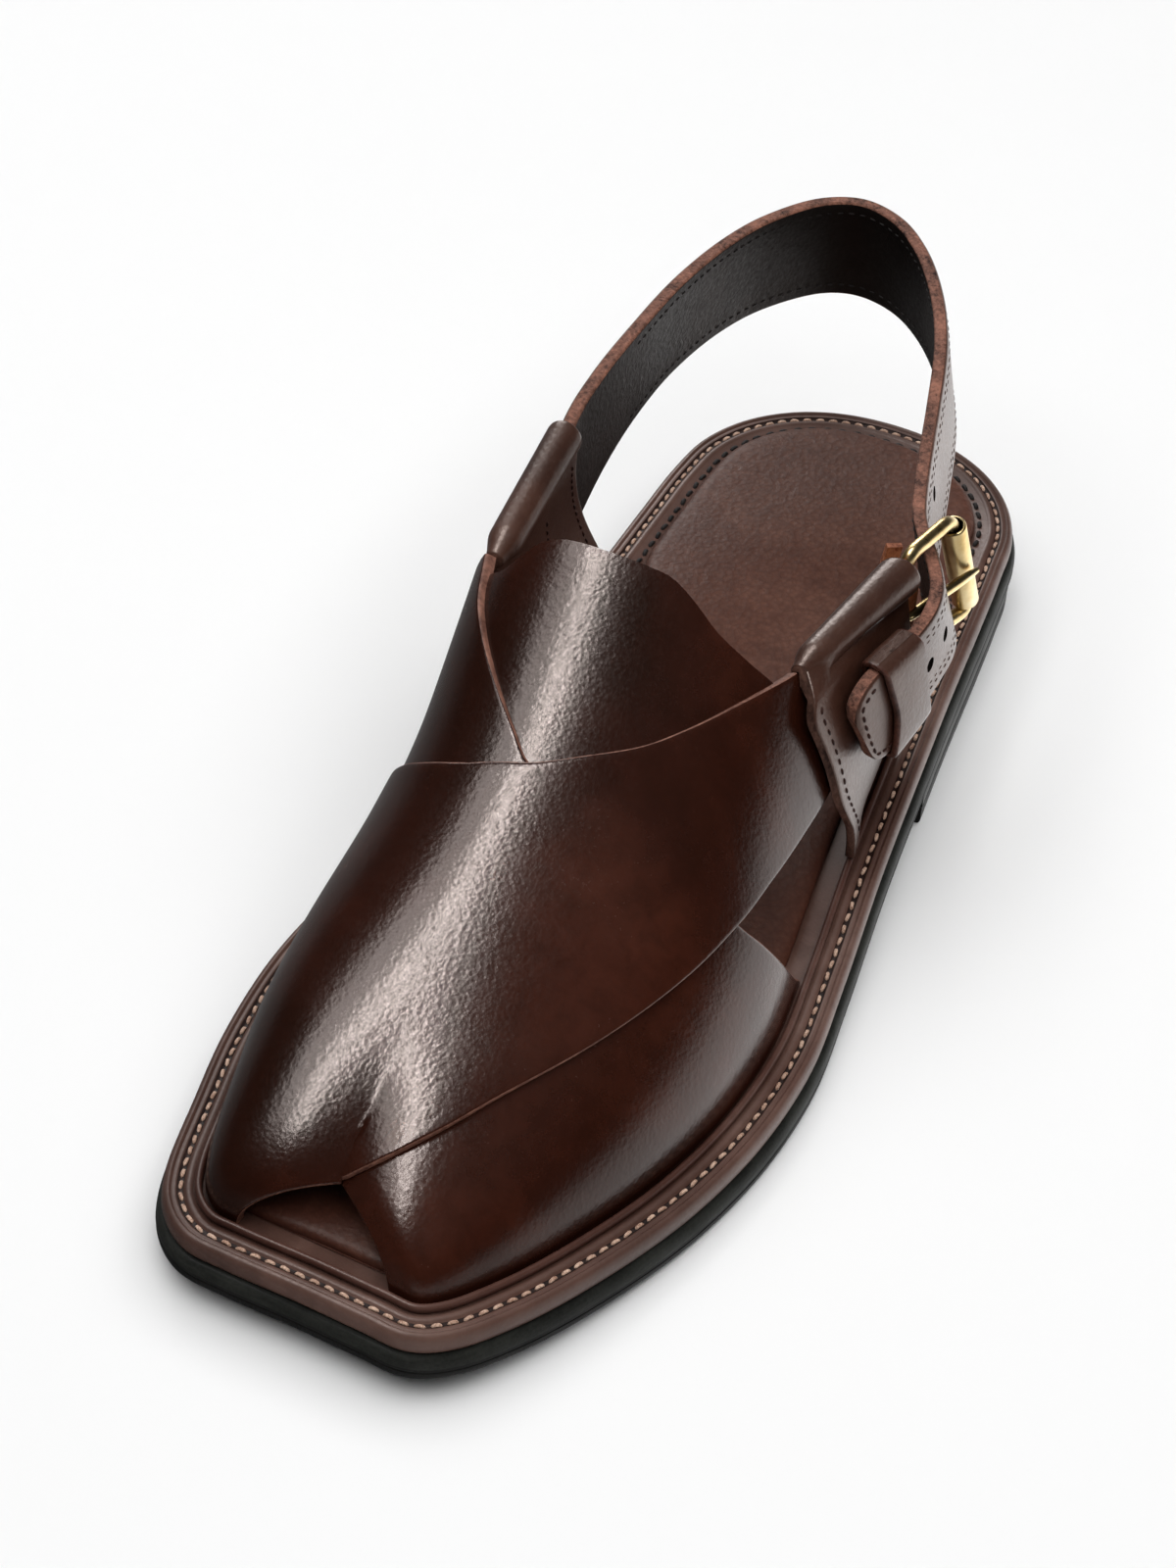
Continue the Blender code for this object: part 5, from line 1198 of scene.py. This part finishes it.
def make_keeper(stations):
    """Loop round the strap's end: rings round the strap, in the order of the loop's own section."""
    soft, low, high = KEEPER_SOFT, STRAP_CLEARANCE, STRAP_CLEARANCE + KEEPER_WALL
    length = KEEPER_REAR_Y - KEEPER_FRONT_Y
    arc = [(soft * math.sin(a), soft * math.cos(a)) for a in np.radians(np.linspace(0.0, 90.0, 5))]
    profile = [(soft - c, high - soft + s) for s, c in arc]
    profile += [(t, high + 0.12 * math.sin(math.pi * t / length)) for t in np.linspace(1.2, length - 1.2, 9)]
    profile += [(length - soft + s, high - soft + c) for s, c in arc]
    profile += [(length - soft + c, low + soft - s) for s, c in arc]
    profile += [(soft - s, low + soft - c) for s, c in arc]
    rings = []
    for t, grow in profile:
        here = stations_at(stations, [KEEPER_REAR_Y - t + step for step in (KEEPER_STEP, 0.0, -KEEPER_STEP)])
        ring = strap_rings(here, grow, 0.7 + 1.2 * grow, KEEPER_ACROSS)[1]
        highs = np.array([row[0] for row in strap_section(0.7, grow, KEEPER_ACROSS)])
        middle = strap_frames(here)[0]
        bow = KEEPER_BOW * (-highs).clip(0.0, 1.0) ** 1.6 * ease(t, 0.0, length)
        rings.append(ring + bow[:, None] * unit(middle[2] - middle[0]))
    bands = [1] * 4 + [0] * (len(profile) - 19) + [1] * 14
    loft("keeper_body", rings, [quarter_leather_painted_sheen, burnished_edge], along=bands, closed=True,
         stands_for=("keeper_loop",), slot="keeper_leather")


# ======== buckle ========

FRAME_CORNERS = np.array([(*NEAR_BAR, FRAME_BOTTOM_Z), (*NEAR_BAR, FRAME_TOP_Z),
                          (*FAR_TOP, FRAME_TOP_Z), (*FAR_BOTTOM, FRAME_BOTTOM_Z)])
ROLLER_SIDES = 40
# (share of the way up, inset) outside, then (share, widening) down the bore
ROLLER_OUTSIDE = ((0.0, 0.3), (0.004, 0.12), (0.015, 0.0), (0.5, 0.0), (0.985, 0.0), (0.996, 0.12),
                  (1.0, 0.3))
ROLLER_INSIDE = ((1.0, 0.1), (0.99, 0.0), (0.01, 0.0), (0.0, 0.1))
PRONG_SHARES = (0.92, 0.8, 0.65, 0.5, 0.36, 0.22, 0.1, 0.0)
PRONG_TIP = (1.05, 0.9, 0.6)  # radii of its last rings
CHAPE_BEND_Y = 38.0           # behind this the chape turns round the bar
# plan of the chape's corner that stands up beside the roll, and (height, lean) up it
CORNER_PLAN = np.array([(31.2, 38.6), (34.0, 40.2), (34.8, 39.0), (32.0, 37.4)])
CORNER_LEVELS = ((62.5, 0.0), (68.0, 0.3), (73.0, 0.9))


def rod(name, path, radius, sides, mats, closed=False, band=0, **options):
    """Round bar swept along a path; radius may change along it."""
    path = np.asarray(path, float)
    if closed:
        ahead = unit(np.roll(path, -1, axis=0) - np.roll(path, 1, axis=0))
    else:
        ahead = unit(np.gradient(path, axis=0))
    side = np.cross(ahead[0], UPWARD if abs(ahead[0, 2]) < 0.8 else (1.0, 0.0, 0.0))
    turns = circle_turns(sides)
    rings = []
    for point, tangent, size in zip(path, ahead, np.broadcast_to(radius, len(path))):
        side = unit(side - tangent * np.dot(side, tangent))
        other = np.cross(tangent, side)
        rings.append(point + size * (np.cos(turns)[:, None] * side + np.sin(turns)[:, None] * other))
    return loft(name, rings, mats, around=[band] * sides, ends=band, closed=closed, **options)


def rounded_loop(corners, radius, steps):
    """Closed path through corners, each rounded with an arc-like blend."""
    path = []
    for i, corner in enumerate(corners):
        before = corners[i - 1] - corner
        after = corners[(i + 1) % len(corners)] - corner
        enter, leave = corner + unit(before) * radius, corner + unit(after) * radius
        for t in np.linspace(0.0, 1.0, steps):
            path.append((1 - t) ** 2 * enter + 2 * t * (1 - t) * corner + t * t * leave)
    return np.array(path)


def prong_path():
    """From a loop round the near bar, out through the strap to the roller."""
    bar = np.array([*NEAR_BAR, PRONG_Z])
    radius = ROD_RADIUS + GAP + PRONG_RADIUS
    path = [bar + radius * np.array([math.cos(angle), math.sin(angle), 0.0])
            for angle in np.radians(np.linspace(100.0, 340.0, 21))]
    top, bottom = FRAME_CORNERS[2:4]
    rest = bottom + (top - bottom) * (PRONG_Z - bottom[2]) / (top[2] - bottom[2])
    tip = rest + np.array([0.92, -0.1, 0.0]) * (ROLLER_RADIUS + 2.0 * GAP + PRONG_RADIUS)
    path += [tip + (path[-1] - tip) * share for share in PRONG_SHARES]
    return np.array(path)


def make_buckle():
    rod("buckle_bar", rounded_loop(FRAME_CORNERS, FRAME_CORNER, 13), ROD_RADIUS, 28, [brass], closed=True,
        stands_for=("buckle_frame",), slot="frame_brass")
    top, bottom = FRAME_CORNERS[2:4]
    foot, head = [bottom + (top - bottom) * share for share in ROLLER_ENDS]
    axis = unit(top - bottom)
    side = unit(np.cross(axis, (0.0, 1.0, 0.0)))
    turns = circle_turns(ROLLER_SIDES)
    circle = np.cos(turns)[:, None] * side + np.sin(turns)[:, None] * np.cross(axis, side)
    rows = [(share, ROLLER_RADIUS - inset) for share, inset in ROLLER_OUTSIDE]
    rows += [(share, ROLLER_BORE + widening) for share, widening in ROLLER_INSIDE]
    rings = [foot + (head - foot) * share + circle * radius for share, radius in rows]
    # the bore takes the darker brass, painted shade inside the tube
    loft("roller_tube", rings, [brass, brass_painted_shade], along=[0] * 7 + [1] * 3, closed=True,
         stands_for=("buckle_roller",), slot="roller_brass")
    path = prong_path()
    size = np.full(len(path), PRONG_RADIUS)
    size[-len(PRONG_TIP):] = PRONG_TIP
    rod("prong_bar", path, size, 20, [brass], stands_for=("buckle_prong",), slot="prong_brass")
    inner = ROD_RADIUS + GAP
    plan = [NEAR_BAR + (inner + CHAPE_THICKNESS) * np.array([math.cos(angle), math.sin(angle)])
            for angle in np.radians(np.linspace(-100.0, 178.0, 40))]
    near, away = CHAPE_TAIL_X - CHAPE_THICKNESS, CHAPE_TAIL_X + CHAPE_THICKNESS
    plan += [(near, CHAPE_BEND_Y), (near, CHAPE_TAIL_Y), (away, CHAPE_TAIL_Y), (away, CHAPE_BEND_Y)]
    rings = [np.column_stack([plan, np.full(len(plan), z)])
             for z in np.linspace(CHAPE_LOW_Z, CHAPE_HIGH_Z, 9)]
    chape = loft("chape_body", rings, CHAPE_MATS, ends=1, stands_for=("buckle_chape",), slot="chape_leather")
    tab = [np.column_stack([CORNER_PLAN + lean, np.full(4, z)]) for z, lean in CORNER_LEVELS]
    loft("chape_corner", tab, CHAPE_MATS, ends=1, slot="chape_leather")
    bore = [(*NEAR_BAR, CHAPE_LOW_Z - 2.0), (*NEAR_BAR, CHAPE_HIGH_Z + 2.0)]
    cut(chape, rod("bar_bore", bore, inner, 32, CHAPE_MATS))
    cut(chape, rod("prong_slot", path, PRONG_RADIUS + GAP, 16, CHAPE_MATS, band=1))


# ======== stage ========

# name, place, size, power, kind: the glow gives the colours and leaves no highlight, a sheen only highlights
LIGHTS = (
    ("dome", (0.0, 0.1, 2.1), (3.6, 3.6), 88.0, "glow"),
    ("key", (-0.93, -0.25, 2.85), (0.2, 1.5), 46.0, "sheen"),
    ("second", (-1.6, -0.1, 2.6), (0.45, 1.3), 12.0, "sheen"),
    ("behind", (-1.35, 1.9, 1.15), (1.2, 0.8), 26.0, "sheen"),
)
LIGHT_AIM = (0.0, 0.0, 0.05)
# surround: axis, (start, factor), (end, factor); bright low down, towards the heel and on the outer side
WORLD_BANDS = (("Z", (-0.1, 1.0), (0.25, 0.0)),
               ("Y", (-0.3, 0.6), (0.6, 1.75)),
               ("X", (-0.25, 0.1), (0.03, 1.0)))
WORLD_LEAST = 0.02
FLOOR_HALF = 4.0
FLOOR_SHADE = 0.93
CAMERA_PLACE = (0.176576, -0.487248, 0.49722)
CAMERA_TURN = (math.radians(49.0), 0.0, math.radians(27.435))
CAMERA_AIM = (0.0758, -0.0288, -1.0)   # in the turned camera's own axes
CAMERA_LENS = 76.0


def make_floor():
    """Pale paper floor."""
    mesh = bpy.data.meshes.new("floor")
    mesh.from_pydata([(x * FLOOR_HALF, y * FLOOR_HALF, 0.0) for x, y in ((-1, -1), (1, -1), (1, 1), (-1, 1))],
                     [], [(0, 1, 2, 3)])
    floor = bpy.data.objects.new("floor", mesh)
    mesh.materials.append(paper_look("floor_paper", FLOOR_SHADE, 0.7, 0.01))
    bpy.context.scene.collection.objects.link(floor)
    floor.visible_glossy = False


def make_lights():
    """A wide light overhead for the colours, and softboxes, laid along x and y, for the highlights."""
    for name, place, size, power, kind in LIGHTS:
        light = bpy.data.lights.new(name, "AREA")
        light.shape = "RECTANGLE"
        light.size, light.size_y = size
        light.energy = power
        obj = bpy.data.objects.new(name, light)
        back = (Vector(place) - Vector(LIGHT_AIM)).normalized()
        right = Vector((0.0, 1.0, 0.0)).cross(back).normalized()
        turn = Matrix((right, back.cross(right), back)).transposed()
        if kind == "glow":
            obj.visible_glossy = False
        else:
            obj.visible_diffuse = False
        obj.matrix_world = Matrix.Translation(place) @ turn.to_4x4()
        bpy.context.scene.collection.objects.link(obj)


def make_surround():
    """Grey surround: the product of a smooth band along each axis."""
    world = bpy.data.worlds.new("surround")
    bpy.context.scene.world = world
    world.use_nodes = True
    tree = world.node_tree
    where = tree.nodes.new("ShaderNodeTexCoord")
    split = tree.nodes.new("ShaderNodeSeparateXYZ")
    tree.links.new(where.outputs["Generated"], split.inputs[0])
    total = None
    for (axis, (start, low), (end, high)), least in zip(WORLD_BANDS, (None, 0.0, WORLD_LEAST)):
        band = tree.nodes.new("ShaderNodeMapRange")
        band.interpolation_type = "SMOOTHSTEP"
        for socket, value in zip(("From Min", "From Max", "To Min", "To Max"), (start, end, low, high)):
            band.inputs[socket].default_value = value
        tree.links.new(split.outputs[axis], band.inputs["Value"])
        result = band.outputs["Result"]
        if total:
            product = tree.nodes.new("ShaderNodeMath")
            product.operation = "MULTIPLY_ADD"
            tree.links.new(total, product.inputs[0])
            tree.links.new(result, product.inputs[1])
            product.inputs[2].default_value = least
            result = product.outputs["Value"]
        total = result
    background = tree.nodes["Background"]
    tree.links.new(total, background.inputs["Color"])
    background.inputs["Strength"].default_value = 1.0


def make_camera():
    """Camera at the angle of the picture, turned to frame the one shoe."""
    data = bpy.data.cameras.new("camera")
    data.lens = CAMERA_LENS
    data.sensor_fit = "VERTICAL"
    data.sensor_height = 36.0
    camera = bpy.data.objects.new("camera", data)
    base = Euler(CAMERA_TURN).to_matrix()
    ahead = (base @ Vector(CAMERA_AIM)).normalized()
    right = ahead.cross(base @ Vector((0.0, 1.0, 0.0))).normalized()
    turn = Matrix((right, right.cross(ahead), -ahead)).transposed()
    camera.matrix_world = Matrix.Translation(CAMERA_PLACE) @ turn.to_4x4()
    bpy.context.scene.collection.objects.link(camera)
    bpy.context.scene.camera = camera


make_sole()
make_insole()
make_upper()
cut(quarter_piece("lateral_wall", LATERAL_QUARTER, "quarter_lateral", "quarter_lateral_leather", 1),
    strap_recess())
make_heel_strap(quarter_piece("medial_wall", MEDIAL_QUARTER, "quarter_medial", "quarter_medial_leather", 0))
for name, quarter, share, heights, face, slot in (
        ("lateral_seam", LATERAL_QUARTER, 0.07, (0.1, 0.86), 1, "quarter_lateral_leather"),
        ("medial_seam", MEDIAL_QUARTER, 0.93, (0.1, 0.9), -1, "quarter_medial_leather"),
        ("anchor_seam", MEDIAL_QUARTER, 0.62, (0.46, 0.78), -1, "quarter_medial_leather"),
        ("medial_outer_seam", MEDIAL_QUARTER, 0.07, (0.1, 0.86), 1, "quarter_medial_leather")):
    quarter_seam(name, quarter, share, heights, face, slot)
make_buckle()
make_floor()
make_lights()
make_surround()
make_camera()
bpy.context.scene.view_settings.view_transform = "Standard"
